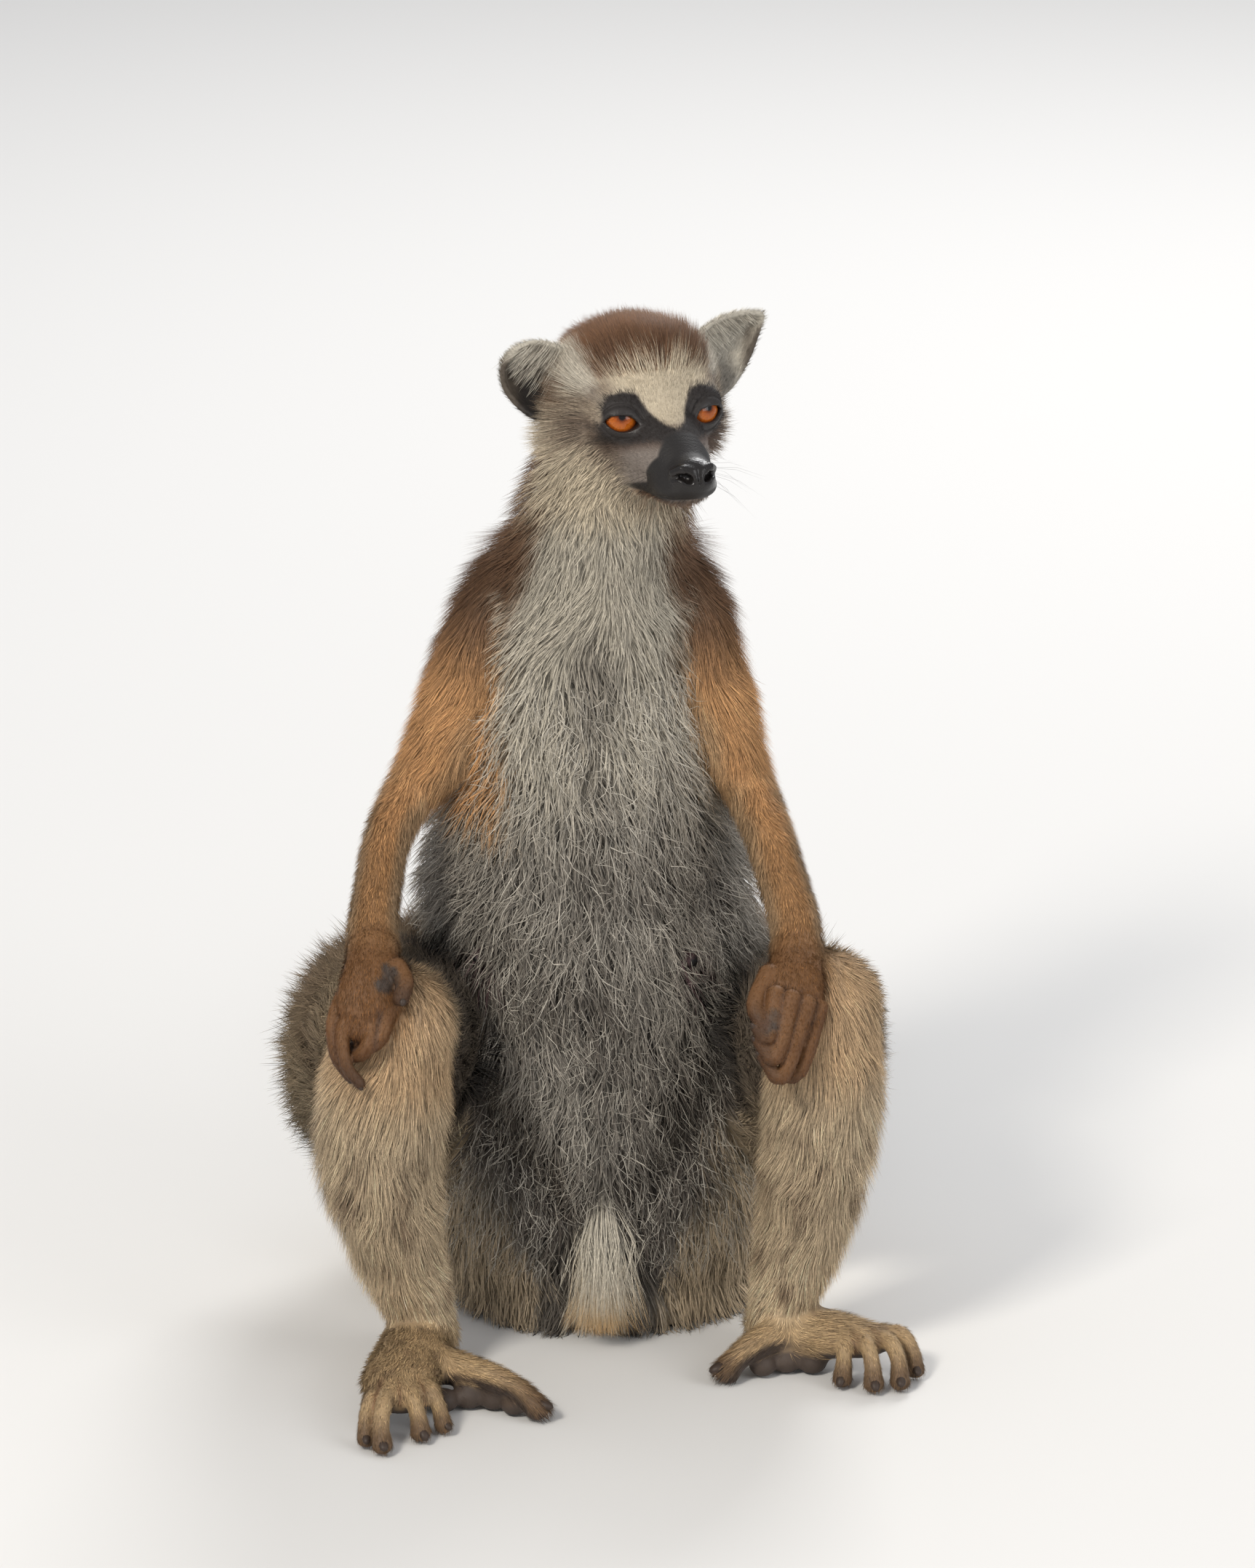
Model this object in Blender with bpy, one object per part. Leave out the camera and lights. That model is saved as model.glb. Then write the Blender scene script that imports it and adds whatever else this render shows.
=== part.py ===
"""Adult ring-tailed lemur sitting upright on its rump, a still life-size figure.

Tables are in millimetres and are turned to metres when a mesh is made. +Z is up, the animal faces -Y,
and its left side is +X. The origin is the middle of the seat, on the floor. Every outline includes the
coat, out to its tips. A body part is a loft of elliptical rings, or several lofts fused into one skin;
where two parts meet, one is carved to fit the other with a thin gap.
"""

import math

import bmesh
import bpy
import numpy as np
from mathutils import Vector

MM = 0.001
GAP = 0.4               # clearance between neighbouring parts
STEPS = 2               # rings from one station of a loft to the next
ROUND = (30, 60)        # degrees round an end cap at which it has a ring
FLOOR_SLAB = 60.0       # depth of the cutter below the floor
FLOOR_SPAN = 900.0

# Stations of a loft: x, y, z, half width, half depth.
TRUNK = [
    (0, 10, 10, 57, 50),
    (-1, 15, 35, 66, 58),
    (-2, 18, 70, 67, 60),
    (-4, 21, 110, 64, 59),
    (-6, 21, 150, 59, 56),
    (-6, 17, 190, 50, 50),
    (-6, 12, 222, 43, 44),
    (-4, 7, 250, 37, 37),
    (-2, 3, 272, 32, 31),
    (2, 2, 292, 29, 29),
    (6, 2, 308, 27, 28),
]
TRUNK_PARTS = ("abdomen", "chest", "neck")
TRUNK_CUTS = (5, 8)     # stations where the trunk is parted

ARM = {
    "right": [
        (-24, 16, 266, 14, 15),
        (-35, 10, 248, 19.5, 19),
        (-43, 4, 226, 20, 19),
        (-54, 0, 204, 16.5, 17),
        (-65, -6, 190, 11.5, 12.5),
        (-73, -26, 180, 9.8, 11),
        (-76, -48, 169, 9.6, 10.5),
        (-77.5, -67, 161, 9.8, 10),
        (-77, -79, 156.5, 9.5, 8.5),
    ],
    "left": [
        (20, 18, 266, 13, 15),
        (28, 12, 248, 18.5, 18),
        (35.5, 6, 224, 17.5, 18),
        (43, 1, 204, 14.5, 16),
        (50, -6, 190, 11, 12.5),
        (56, -26, 181, 10, 11),
        (61, -45, 169, 10, 10.5),
        (65, -61, 159, 10, 10),
        (65, -72, 153, 9.5, 8.5),
    ],
}
ELBOW = 4               # station where an arm is parted

THIGH = {
    "right": [
        (-46, 56, 52, 35, 42),
        (-63, 30, 77, 49, 54),
        (-70, -8, 96, 43, 45),
        (-72, -44, 114, 31, 32),
        (-69, -78, 131, 21, 21),
    ],
    "left": [
        (38, 58, 50, 34, 41),
        (53, 34, 74, 44, 52),
        (63, -4, 93, 35, 42),
        (70, -40, 115, 26, 29),
        (75, -68, 134, 20, 20),
    ],
}
SHANK = {
    "right": [
        (-69, -82, 132, 21, 21),
        (-73, -81, 110, 24.5, 25),
        (-75.5, -78, 86, 24.5, 26),
        (-73, -74, 62, 20.5, 22),
        (-69, -70, 42, 17, 18),
        (-63, -67, 24, 13.5, 14.5),
        (-62, -66, 14, 13, 13.5),
    ],
    "left": [
        (75, -72, 135, 20, 20),
        (75, -70, 112, 22.5, 23),
        (73.5, -67, 86, 22.5, 24),
        (70.5, -63, 64, 20.5, 22),
        (66.5, -59, 42, 17, 18),
        (62, -56, 24, 13.5, 14.5),
        (61, -56, 14, 13, 13.5),
    ],
}
ANKLE = 5               # station where a leg is parted
SOLE_CUT = 1.8          # how much of a foot's roundness the floor takes off

# Each foot and hand: lofts fused into one skin. A digit is a list of stations with round ends.
FOOT = {
    "right": {
        "heel": [(-61, -52, 10, 9, 8.5), (-62, -67, 14, 13, 13), (-65, -88, 14, 14.5, 12),
                 (-68, -108, 14, 15, 10), (-68, -121, 13.5, 13, 7.5)],
        "toe_5": [(-75, -117, 13, 5, 5), (-77.5, -126, 14.5, 3.9, 4.2), (-79, -132, 10.5, 3.6, 3.8),
                  (-79, -136, 5, 4.2, 4)],
        "toe_4": [(-71.5, -118, 14, 5, 5), (-73, -131, 15.5, 3.9, 4.2), (-74, -138, 11, 3.7, 3.8),
                  (-73.5, -142, 5.2, 4.4, 4.2)],
        "toe_3": [(-65, -118, 14, 5, 5), (-64, -125, 15, 3.9, 4.2), (-62, -129, 10.5, 3.7, 3.8),
                  (-61, -131, 5.2, 4.5, 4.2)],
        "toe_2": [(-60, -114, 14, 5, 5), (-57.5, -119, 15, 3.8, 4), (-55, -122, 10, 3.5, 3.6),
                  (-53.5, -124, 5, 4, 4)],
        "hallux": [(-60, -86, 13, 9, 8), (-48, -95, 13, 7.4, 7.5), (-38, -102, 13, 6.2, 6.5),
                   (-28.5, -108, 11, 5.4, 5.5), (-22, -112, 6, 6, 5.4)],
    },
    "left": {
        "heel": [(49, -42, 10, 9, 8.5), (60, -55, 14, 13, 13), (71, -63, 14, 13, 11), (82, -68, 14, 12.5, 9),
                 (91, -71, 14, 10.5, 7.5)],
        "toe_5": [(96, -66, 13.5, 5, 5), (102, -69, 15, 3.9, 4.2), (105.5, -72, 10.5, 3.6, 3.8),
                  (106.5, -75, 5, 4.3, 4)],
        "toe_4": [(94, -71, 14, 5, 5), (98, -77, 15.5, 3.9, 4.2), (100.5, -82, 11, 3.7, 3.8),
                  (101, -86, 5.2, 4.5, 4.2)],
        "toe_3": [(88, -73, 14, 5, 5), (90, -80, 15.5, 3.9, 4.2), (91.5, -85, 11, 3.7, 3.8),
                  (92, -88, 5.2, 4.5, 4.2)],
        "toe_2": [(82, -72, 14, 5, 5), (82, -78, 14.5, 3.9, 4), (82, -81, 10.5, 3.6, 3.6),
                  (81.5, -83, 5, 4.4, 4)],
        "hallux": [(64, -62, 14, 9, 8), (57, -69, 14.5, 7.2, 7.5), (51, -74, 13, 6.4, 6.5),
                   (45.5, -77, 9.5, 5.8, 5.8), (42, -79, 6, 6.4, 5.4)],
    },
}
HAND = {
    "right": {
        "palm": [(-77, -79, 157.5, 9.5, 8.5), (-77, -91, 152, 11.5, 7.5), (-78, -98, 144, 12.5, 6.5),
                 (-78.5, -102, 136, 9, 5.5)],
        "thumb": [(-69, -91, 154, 5, 5), (-66, -98, 152, 4, 4), (-67, -103, 148, 3.6, 3.6)],
        "digit_2": [(-72, -99, 142, 4, 4), (-74, -105, 135, 3.6, 3.6), (-78, -104, 131, 3.2, 3.2),
                    (-82, -100, 131, 2.8, 2.8)],
        "digit_3": [(-76, -101, 140, 4, 4), (-78, -106.5, 132.5, 3.6, 3.6), (-82, -104, 128, 3.2, 3.2),
                    (-86, -99, 129, 2.8, 2.8)],
        "digit_4": [(-83, -99, 142, 4, 4), (-86.5, -103, 136, 3.4, 3.4), (-85.5, -107, 126, 3, 3),
                    (-81, -107, 119.5, 2.8, 2.8)],
        "digit_5": [(-87, -94, 145, 3.6, 3.6), (-90, -99, 138, 3.2, 3.2), (-89, -103, 128, 3, 3),
                    (-84.5, -104, 120.5, 2.6, 2.6)],
    },
    "left": {
        "palm": [(65, -72, 154, 9.5, 8.5), (64.5, -84, 150, 11, 7.5), (64, -91, 145, 11.5, 6.5),
                 (65, -95, 138, 9, 5.5)],
        "thumb": [(56, -86, 150, 5, 5), (51, -96, 143.5, 4, 4), (53, -102, 138.5, 3.6, 3.6)],
        "digit_2": [(58, -96, 147, 4.2, 4), (55, -104, 134.5, 3.5, 3.5), (51.5, -104, 138, 3, 3)],
        "digit_3": [(63, -97, 146, 4.2, 4), (57.5, -105, 127.5, 3.5, 3.5), (52, -103, 133, 3, 3)],
        "digit_4": [(68, -96, 144, 4.2, 4), (60, -104, 120.5, 3.5, 3.5), (53.5, -101, 127, 3, 3)],
        "digit_5": [(72, -92, 141, 4.2, 4), (66, -99, 121, 3.4, 3.4), (59, -98, 118.5, 3, 3)],
    },
}

# The head is laid out from a point midway between the eyes: forward, to its left, and up.
BETWEEN_EYES = Vector((20.5, -18.5, 325))
HEAD_YAW = math.radians(22.5)
FORWARD = Vector((math.sin(HEAD_YAW), -math.cos(HEAD_YAW), 0))
LEFTWARD = Vector((math.cos(HEAD_YAW), math.sin(HEAD_YAW), 0))
UPWARD = Vector((0, 0, 1))
SKULL_BALLS = [         # centre (forward, left, up) and half sizes
    ((-27, 0, 4), (31, 31, 26)),
    ((-16, 0, 7), (17, 25, 22)),
    ((-27, 17, -9), (20, 18.5, 17)),
    ((-27, -17, -9), (20, 18.5, 17)),
    ((-6, 14.3, 1), (9.5, 10, 11)),
    ((-6, -14.3, 1), (9.5, 10, 11)),
    ((25.8, 0, -12.7), (4.8, 6, 4.6)),
]
MUZZLE = [(-8, 0, -7, 20, 16), (7, 0, -11, 14, 12.5), (17, 0, -14.5, 10.8, 9.5), (24.5, 0, -15.8, 8.4, 7)]
JAW = [(-20, 0, -15, 20, 10), (2, 0, -18.8, 13, 7.5), (13.5, 0, -21.2, 8.8, 5), (18, 0, -21.4, 6.6, 4.4)]
EYE_PLACE = (-5.6, 14.0, 0)
EYE_RADIUS = 7.6
EYE_CLEARANCE = 0.8             # room round the eyeball in its socket
EYE_OUTWARD = math.radians(14)  # how far each eye looks out from straight ahead
LID_OPENING = (6.2, 4.8)        # half width and half height of the opening between the lids
SOCKET_FLARE = 6.0              # how much wider the socket is at its mouth
EAR_EDGES = {           # lower and upper edge of each ear, from the head outwards: the near one is held lower
    "right": ([(-27, 27, -6), (-31, 36, -3), (-34, 43, 5), (-35, 44, 13), (-33, 40, 19)],
              [(-27, 17, 13), (-29, 24, 18.5), (-31, 30, 21), (-32, 35, 21.5), (-33, 39, 20)]),
    "left": ([(-27, 27, -5), (-32, 38, -1), (-34, 45, 7.5), (-34, 48.5, 16), (-33, 50, 22)],
             [(-27, 18, 14), (-29, 26, 20), (-31, 33, 23), (-32, 42, 24.3), (-33, 49, 23.2)]),
}
EAR_DISH = 8.0
EAR_THICK = 2.4
EAR_STRIPS = 8          # strips across an ear, from its lower to its upper edge

TAIL_RADIUS = 20.5
TAIL_HEIGHT = 19.5      # centre of the tail above the floor, less than its radius so that it rests on a flat
TAIL_ROOT = [(0, 50, 44, 17, 17), (-10, 76, 34, 17, 17), (-24, 104, 23, 18.5, 18.5),
             (-42, 150, TAIL_HEIGHT, 20, 20)]
TAIL_BEND = (0, 262, 66)  # middle of the bend on the floor, x and y, and its radius
TAIL_END = 112          # y of the last full ring before the tip
TAIL_CUTS = (3, 6, 9, 12)
TAIL_SPLAY = 0.06       # how fast the two runs of the tail draw apart

# Fused parts: voxel size, rounds of smoothing and about how many triangles.
FUSED = {"head": (1.5, 6, 700), "ear": (0.9, 3, 200), "hand": (1.1, 2, 340), "foot": (1.1, 2, 400)}

COLOURS = {
    "head": (0.42, 0.36, 0.30), "ear": (0.75, 0.74, 0.70), "eye": (0.75, 0.28, 0.03),
    "neck": (0.60, 0.55, 0.48), "chest": (0.55, 0.52, 0.48), "abdomen": (0.42, 0.41, 0.40),
    "upper_arm": (0.46, 0.30, 0.17),
    "forearm": (0.52, 0.38, 0.22), "hand": (0.38, 0.27, 0.17), "thigh": (0.55, 0.50, 0.42),
    "shank": (0.66, 0.60, 0.48), "foot": (0.62, 0.56, 0.44), "tail_light": (0.80, 0.78, 0.74),
    "tail_dark": (0.04, 0.035, 0.03),
}


def along(stations, steps=STEPS):
    """Rings through the stations, smoothed by a Catmull-Rom curve."""
    rows = np.array(stations, float)
    first = 2 * rows[0] - rows[1]
    last = 2 * rows[-1] - rows[-2]
    rows = np.vstack([first, rows, last])
    found = []
    for before, start, end, after in zip(rows, rows[1:], rows[2:], rows[3:]):
        for step in range(steps):
            t = step / steps
            square = 2 * before - 5 * start + 4 * end - after
            cube = 3 * start - before - 3 * end + after
            found.append(0.5 * (2 * start + (end - before) * t + square * t ** 2 + cube * t ** 3))
    found.append(rows[-2])
    return np.array(found)


def ring_frames(rings, side):
    """Centre, width direction, depth direction and tangent of each ring."""
    centres = [Vector(row[:3]) for row in rings]
    found = []
    for index, centre in enumerate(centres):
        tangent = (centres[min(index + 1, len(centres) - 1)] - centres[max(index - 1, 0)]).normalized()
        width = (Vector(side) - tangent * tangent.dot(Vector(side))).normalized()
        found.append((centre, width, tangent.cross(width), tangent))
    return found


def capped(rings, frames, start_round, end_round):
    """(centre, width vector, depth vector) of every ring, with those of the round ends, and the two poles."""
    body = [(c, w * row[3], d * row[4]) for row, (c, w, d, _) in zip(rings, frames)]
    poles = [None, None]
    for end, wanted in ((0, start_round), (-1, end_round)):
        if not wanted:
            continue
        centre, width, depth = body[end]
        out = frames[end][3] * (-1 if end == 0 else 1) * min(rings[end][3], rings[end][4])
        caps = [(centre + out * math.sin(math.radians(a)), width * math.cos(math.radians(a)),
                 depth * math.cos(math.radians(a))) for a in ROUND]
        body = caps[::-1] + body if end == 0 else body + caps
        poles[end] = centre + out
    return body, poles


def loft(bm, rings, side, sides=16, start_round=True, end_round=True, frames=None):
    """Adds a closed tube of elliptical rings to bm."""
    frames = frames or ring_frames(rings, side)
    body, poles = capped(rings, frames, start_round, end_round)
    loops = []
    for centre, width, depth in body:
        turns = [2 * math.pi * k / sides for k in range(sides)]
        loops.append([bm.verts.new(centre + width * math.cos(a) + depth * math.sin(a)) for a in turns])
    for near, far in zip(loops, loops[1:]):
        for k in range(sides):
            n = (k + 1) % sides
            bm.faces.new((near[k], near[n], far[n], far[k]))
    for loop, pole, turned in ((loops[0], poles[0], True), (loops[-1], poles[-1], False)):
        if pole is None:
            bm.faces.new(loop[::-1] if turned else loop)
            continue
        tip = bm.verts.new(pole)
        for k in range(sides):
            n = (k + 1) % sides
            bm.faces.new((loop[n], loop[k], tip) if turned else (loop[k], loop[n], tip))


def ball(bm, centre, half_sizes, axes=None):
    """Adds an ellipsoid to bm, with its half sizes along the axes given."""
    made = bmesh.ops.create_icosphere(bm, subdivisions=4, radius=1)["verts"]
    axes = axes or (Vector((1, 0, 0)), Vector((0, 1, 0)), Vector((0, 0, 1)))
    for vert in made:
        co = vert.co.copy()
        moves = [axis * c * half for axis, c, half in zip(axes, co, half_sizes)]
        vert.co = Vector(centre) + sum(moves, Vector())


def in_head(forward, left, up):
    return BETWEEN_EYES + FORWARD * forward + LEFTWARD * left + UPWARD * up


def coat_material(name, colour, roughness=0.85):
    material = bpy.data.materials.new(name)
    material.use_nodes = True
    shader = material.node_tree.nodes["Principled BSDF"]
    shader.inputs["Base Color"].default_value = (*colour, 1)
    shader.inputs["Roughness"].default_value = roughness
    shader.inputs["Metallic"].default_value = 0.0
    return material


def new_object(name, bm, colour=None):
    """An object from a mesh in millimetres, in metres, with its faces turned outwards."""
    bmesh.ops.recalc_face_normals(bm, faces=bm.faces)
    bmesh.ops.scale(bm, vec=(MM, MM, MM), verts=bm.verts)
    mesh = bpy.data.meshes.new(name)
    bm.to_mesh(mesh)
    bm.free()
    mesh.shade_smooth()
    obj = bpy.data.objects.new(name, mesh)
    bpy.context.scene.collection.objects.link(obj)
    if colour:
        mesh.materials.append(coat_material(name + "_coat", colour))
    return obj


def apply_modifiers(obj):
    """Replaces the object's mesh with what its modifiers make of it."""
    graph = bpy.context.evaluated_depsgraph_get()
    mesh = bpy.data.meshes.new_from_object(obj.evaluated_get(graph))
    old = obj.data
    obj.modifiers.clear()
    obj.data = mesh
    bpy.data.meshes.remove(old)
    mesh.name = obj.name


def fuse(obj, kind):
    """Makes one skin of overlapping lofts, smooths it, and brings it to about the triangles given."""
    voxel, smoothing, triangles = FUSED[kind]
    remesh = obj.modifiers.new("Remesh", "REMESH")
    remesh.mode = "VOXEL"
    remesh.voxel_size = voxel * MM
    smooth = obj.modifiers.new("Smooth", "SMOOTH")
    smooth.factor = 0.5
    smooth.iterations = smoothing
    apply_modifiers(obj)
    obj.data.calc_loop_triangles()
    decimate = obj.modifiers.new("Decimate", "DECIMATE")
    decimate.ratio = min(1.0, triangles / len(obj.data.loop_triangles))
    apply_modifiers(obj)
    obj.data.shade_smooth()


def keep_largest(obj):
    """Drops the crumbs that a cut leaves, keeping the largest body."""
    bm = bmesh.new()
    bm.from_mesh(obj.data)
    bm.verts.ensure_lookup_table()
    seen = set()
    bodies = []
    for vert in bm.verts:
        if vert in seen:
            continue
        body, queue = [], [vert]
        seen.add(vert)
        while queue:
            here = queue.pop()
            body.append(here)
            for edge in here.link_edges:
                other = edge.other_vert(here)
                if other not in seen:
                    seen.add(other)
                    queue.append(other)
        bodies.append(body)
    bodies.sort(key=len)
    for body in bodies[:-1]:
        bmesh.ops.delete(bm, geom=body, context="VERTS")
    bmesh.ops.triangulate(bm, faces=bm.faces)
    bm.to_mesh(obj.data)
    bm.free()


def carve(obj, *others, gap=GAP):
    """Cuts the shape of each other part from obj, with a gap all round it."""
    for other in others:
        cutter = other.copy()
        cutter.data = other.data.copy()
        cutter.name = "cutter_" + other.name
        bpy.context.scene.collection.objects.link(cutter)
        cutter.hide_render = True
        cutter.display_type = "WIRE"
        swell = cutter.modifiers.new("Swell", "DISPLACE")
        swell.direction = "NORMAL"
        swell.mid_level = 0.0
        swell.strength = gap * MM
        apply_modifiers(cutter)
        cut = obj.modifiers.new("Cut", "BOOLEAN")
        cut.operation = "DIFFERENCE"
        cut.solver = "EXACT"
        cut.object = cutter
        apply_modifiers(obj)
        bpy.data.objects.remove(cutter)
        keep_largest(obj)


def chain(names, stations, cuts, side, sides, colours, ends=(True, True), steps=STEPS):
    """One loft parted at the stations in cuts, each part its own object with a gap to the next."""
    rings = along(stations, steps)
    frames = ring_frames(rings, side)
    bounds = [0, *(cut * steps for cut in cuts), len(rings) - 1]
    made = []
    for index, name in enumerate(names):
        first, last = bounds[index], bounds[index + 1]
        part_rings = rings[first:last + 1].copy()
        part_frames = list(frames[first:last + 1])
        if index > 0:
            part_rings[0][:3] += np.array(part_frames[0][3]) * GAP / 2
        if index < len(names) - 1:
            part_rings[-1][:3] -= np.array(part_frames[-1][3]) * GAP / 2
        part_frames = [(Vector(row[:3]), *frame[1:]) for row, frame in zip(part_rings, part_frames)]
        bm = bmesh.new()
        start_round = index == 0 and ends[0]
        end_round = index == len(names) - 1 and ends[1]
        loft(bm, part_rings, side, sides, start_round, end_round, part_frames)
        made.append(new_object(name, bm, colours[index]))
    return made


def make_trunk():
    colours = [COLOURS[name] for name in TRUNK_PARTS]
    return chain(TRUNK_PARTS, TRUNK, TRUNK_CUTS, (1, 0, 0), 22, colours)


def make_head():
    bm = bmesh.new()
    for centre, half_sizes in SKULL_BALLS:
        ball(bm, in_head(*centre), half_sizes, (FORWARD, LEFTWARD, UPWARD))
    for stations in (MUZZLE, JAW):
        placed = [(*in_head(*row[:3]), *row[3:]) for row in stations]
        loft(bm, along(placed, 3), LEFTWARD)
    head = new_object("head", bm, COLOURS["head"])
    fuse(head, "head")
    return head


def make_eye(name, sign):
    bm = bmesh.new()
    bmesh.ops.create_uvsphere(bm, u_segments=14, v_segments=9, radius=EYE_RADIUS)
    forward, left, up = EYE_PLACE
    bmesh.ops.translate(bm, vec=in_head(forward, sign * left, up), verts=bm.verts)
    eye = new_object(name, bm)
    eye.data.materials.append(coat_material(name + "_iris", COLOURS["eye"], 0.15))
    return eye


def carve_socket(head, sign):
    """Opens the head over an eye: round behind the eyeball, narrowed to the lids, then flared."""
    forward, left, up = EYE_PLACE
    place = in_head(forward, sign * left, up)
    turn = EYE_OUTWARD * sign
    gaze = FORWARD * math.cos(turn) + LEFTWARD * math.sin(turn)
    across = UPWARD.cross(gaze)
    radius = EYE_RADIUS + EYE_CLEARANCE
    rings = []
    for degrees in (-60, -25, 10, 38):
        angle = math.radians(degrees)
        size = radius * math.cos(angle)
        rings.append((*(place + gaze * radius * math.sin(angle)), size, size))
    wide, high = LID_OPENING
    for out, grow in ((0.93, 0.0), (1.1, 0.6), (2.6, SOCKET_FLARE)):
        rings.append((*(place + gaze * radius * out), wide + grow, high + grow))
    bm = bmesh.new()
    loft(bm, np.array(rings), across, 10)
    cutter = new_object("socket_cutter", bm)
    carve(head, cutter, gap=0.0)
    bpy.data.objects.remove(cutter)


def make_ear(side, sign):
    """A dished leaf between a lower and an upper edge, thickened behind."""
    name = "ear_" + side
    lower, upper = (along(edge, 3) for edge in EAR_EDGES[side])
    bm = bmesh.new()
    rows = []
    for index, (low, high) in enumerate(zip(lower, upper)):
        t = index / (len(lower) - 1)
        row = []
        for k in range(EAR_STRIPS + 1):
            s = 2 * k / EAR_STRIPS - 1
            forward, left, up = low + (high - low) * k / EAR_STRIPS
            dish = EAR_DISH * (1 - s * s) * math.sin(math.pi * (0.25 + 0.75 * t))
            row.append(bm.verts.new(in_head(forward - dish, sign * left, up)))
        rows.append(row)
    for near, far in zip(rows, rows[1:]):
        for k in range(EAR_STRIPS):
            face = (near[k], near[k + 1], far[k + 1], far[k])
            bm.faces.new(face if sign > 0 else face[::-1])
    bmesh.ops.scale(bm, vec=(MM, MM, MM), verts=bm.verts)
    mesh = bpy.data.meshes.new(name)
    bm.to_mesh(mesh)
    bm.free()
    ear = bpy.data.objects.new(name, mesh)
    bpy.context.scene.collection.objects.link(ear)
    mesh.materials.append(coat_material(name + "_coat", COLOURS["ear"]))
    thick = ear.modifiers.new("Thick", "SOLIDIFY")
    thick.thickness = EAR_THICK * MM
    thick.offset = 0.0
    apply_modifiers(ear)
    fuse(ear, "ear")
    return ear


def make_extremity(kind, side, lofts, lowered=0.0):
    """A hand or foot: its lofts fused into one skin, lowered where the floor is to cut a sole on it."""
    bm = bmesh.new()
    for stations in lofts.values():
        loft(bm, along(stations, 3), (1, 0.15, 0), 12)
    bmesh.ops.translate(bm, vec=(0, 0, -lowered), verts=bm.verts)
    made = new_object(f"{kind}_{side}", bm, COLOURS[kind])
    fuse(made, kind)
    return made


def tail_stations():
    """The tail drops from the rump to the floor, runs back, and turns round to lie along itself."""
    middle_x, middle_y, radius = TAIL_BEND
    found = list(TAIL_ROOT)
    found.append((middle_x - radius + 6, 200, TAIL_HEIGHT, TAIL_RADIUS, TAIL_RADIUS))
    for turn in range(0, 181, 30):
        angle = math.radians(180 - turn)
        found.append((middle_x + radius * math.cos(angle), middle_y + radius * math.sin(angle), TAIL_HEIGHT,
                      TAIL_RADIUS, TAIL_RADIUS))
    for y in (212, 162, TAIL_END):
        x = middle_x + radius - (middle_y - y) * TAIL_SPLAY
        found.append((x, y, TAIL_HEIGHT, TAIL_RADIUS, TAIL_RADIUS))
    return found


def make_tail():
    names = [f"tail_{index + 1}" for index in range(len(TAIL_CUTS) + 1)]
    colours = [COLOURS[("tail_light", "tail_dark")[index % 2]] for index in range(len(names))]
    return chain(names, tail_stations(), TAIL_CUTS, (0, 0, 1), 14, colours)


def make_floor_cutter():
    bm = bmesh.new()
    bmesh.ops.create_cube(bm, size=1)
    bmesh.ops.scale(bm, vec=(FLOOR_SPAN, FLOOR_SPAN, FLOOR_SLAB), verts=bm.verts)
    bmesh.ops.translate(bm, vec=(0, 100, -FLOOR_SLAB / 2), verts=bm.verts)
    cutter = new_object("floor_cutter", bm)
    cutter.hide_render = True
    cutter.display_type = "WIRE"
    return cutter


def main():
    for obj in list(bpy.data.objects):
        bpy.data.objects.remove(obj)

    abdomen, chest, neck = make_trunk()
    head = make_head()
    carve(neck, head)
    for side, sign in (("left", 1), ("right", -1)):
        eye = make_eye("eye_" + side, sign)
        carve_socket(head, sign)
        ear = make_ear(side, sign)
        carve(ear, head)

    tail = make_tail()
    carve(tail[0], abdomen)
    feet = []
    thighs = []
    for side in ("left", "right"):
        upper, forearm = chain(["upper_arm_" + side, "forearm_" + side], ARM[side], (ELBOW,), (1, 0, 0), 12,
                               [COLOURS["upper_arm"], COLOURS["forearm"]], ends=(True, False))
        hand = make_extremity("hand", side, HAND[side])
        foot = make_extremity("foot", side, FOOT[side], SOLE_CUT)
        shank, = chain(["shank_" + side], SHANK[side][:ANKLE + 1], (), (1, 0, 0), 14, [COLOURS["shank"]],
                       ends=(True, False))
        thigh, = chain(["thigh_" + side], THIGH[side], (), (1, 0, 0), 16, [COLOURS["thigh"]])
        carve(upper, neck, chest, abdomen)
        carve(forearm, abdomen)
        carve(hand, forearm)
        carve(shank, forearm, hand, foot)
        carve(thigh, abdomen, forearm, hand, shank, tail[0])
        feet.append(foot)
        thighs.append(thigh)

    floor = make_floor_cutter()
    for part in (abdomen, *thighs, *feet, *tail):
        carve(part, floor, gap=0.0)
    bpy.data.objects.remove(floor)


main()
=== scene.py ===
"""Looks of the sitting ring-tailed lemur: one skin over the body, eyes, nails and a coat of solid tufts.

Tables are in millimetres in the frame of the CAD parts; meshes are made in metres. A chain is a run of
elliptical rings: x, y, z, half width, half depth, coat. Half sizes reach to the tips of the coat, as the CAD
parts do, and the skin lies inside them by the coat's depth. The skin is the zero level of a distance to all
chains, the head and the ears, joined smoothly. Each tuft is a closed, tapered, bent blade on that skin.
"""

import math

import bmesh
import bpy
import numpy as np
import openvdb
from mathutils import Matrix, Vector
from mathutils.bvhtree import BVHTree


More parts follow.
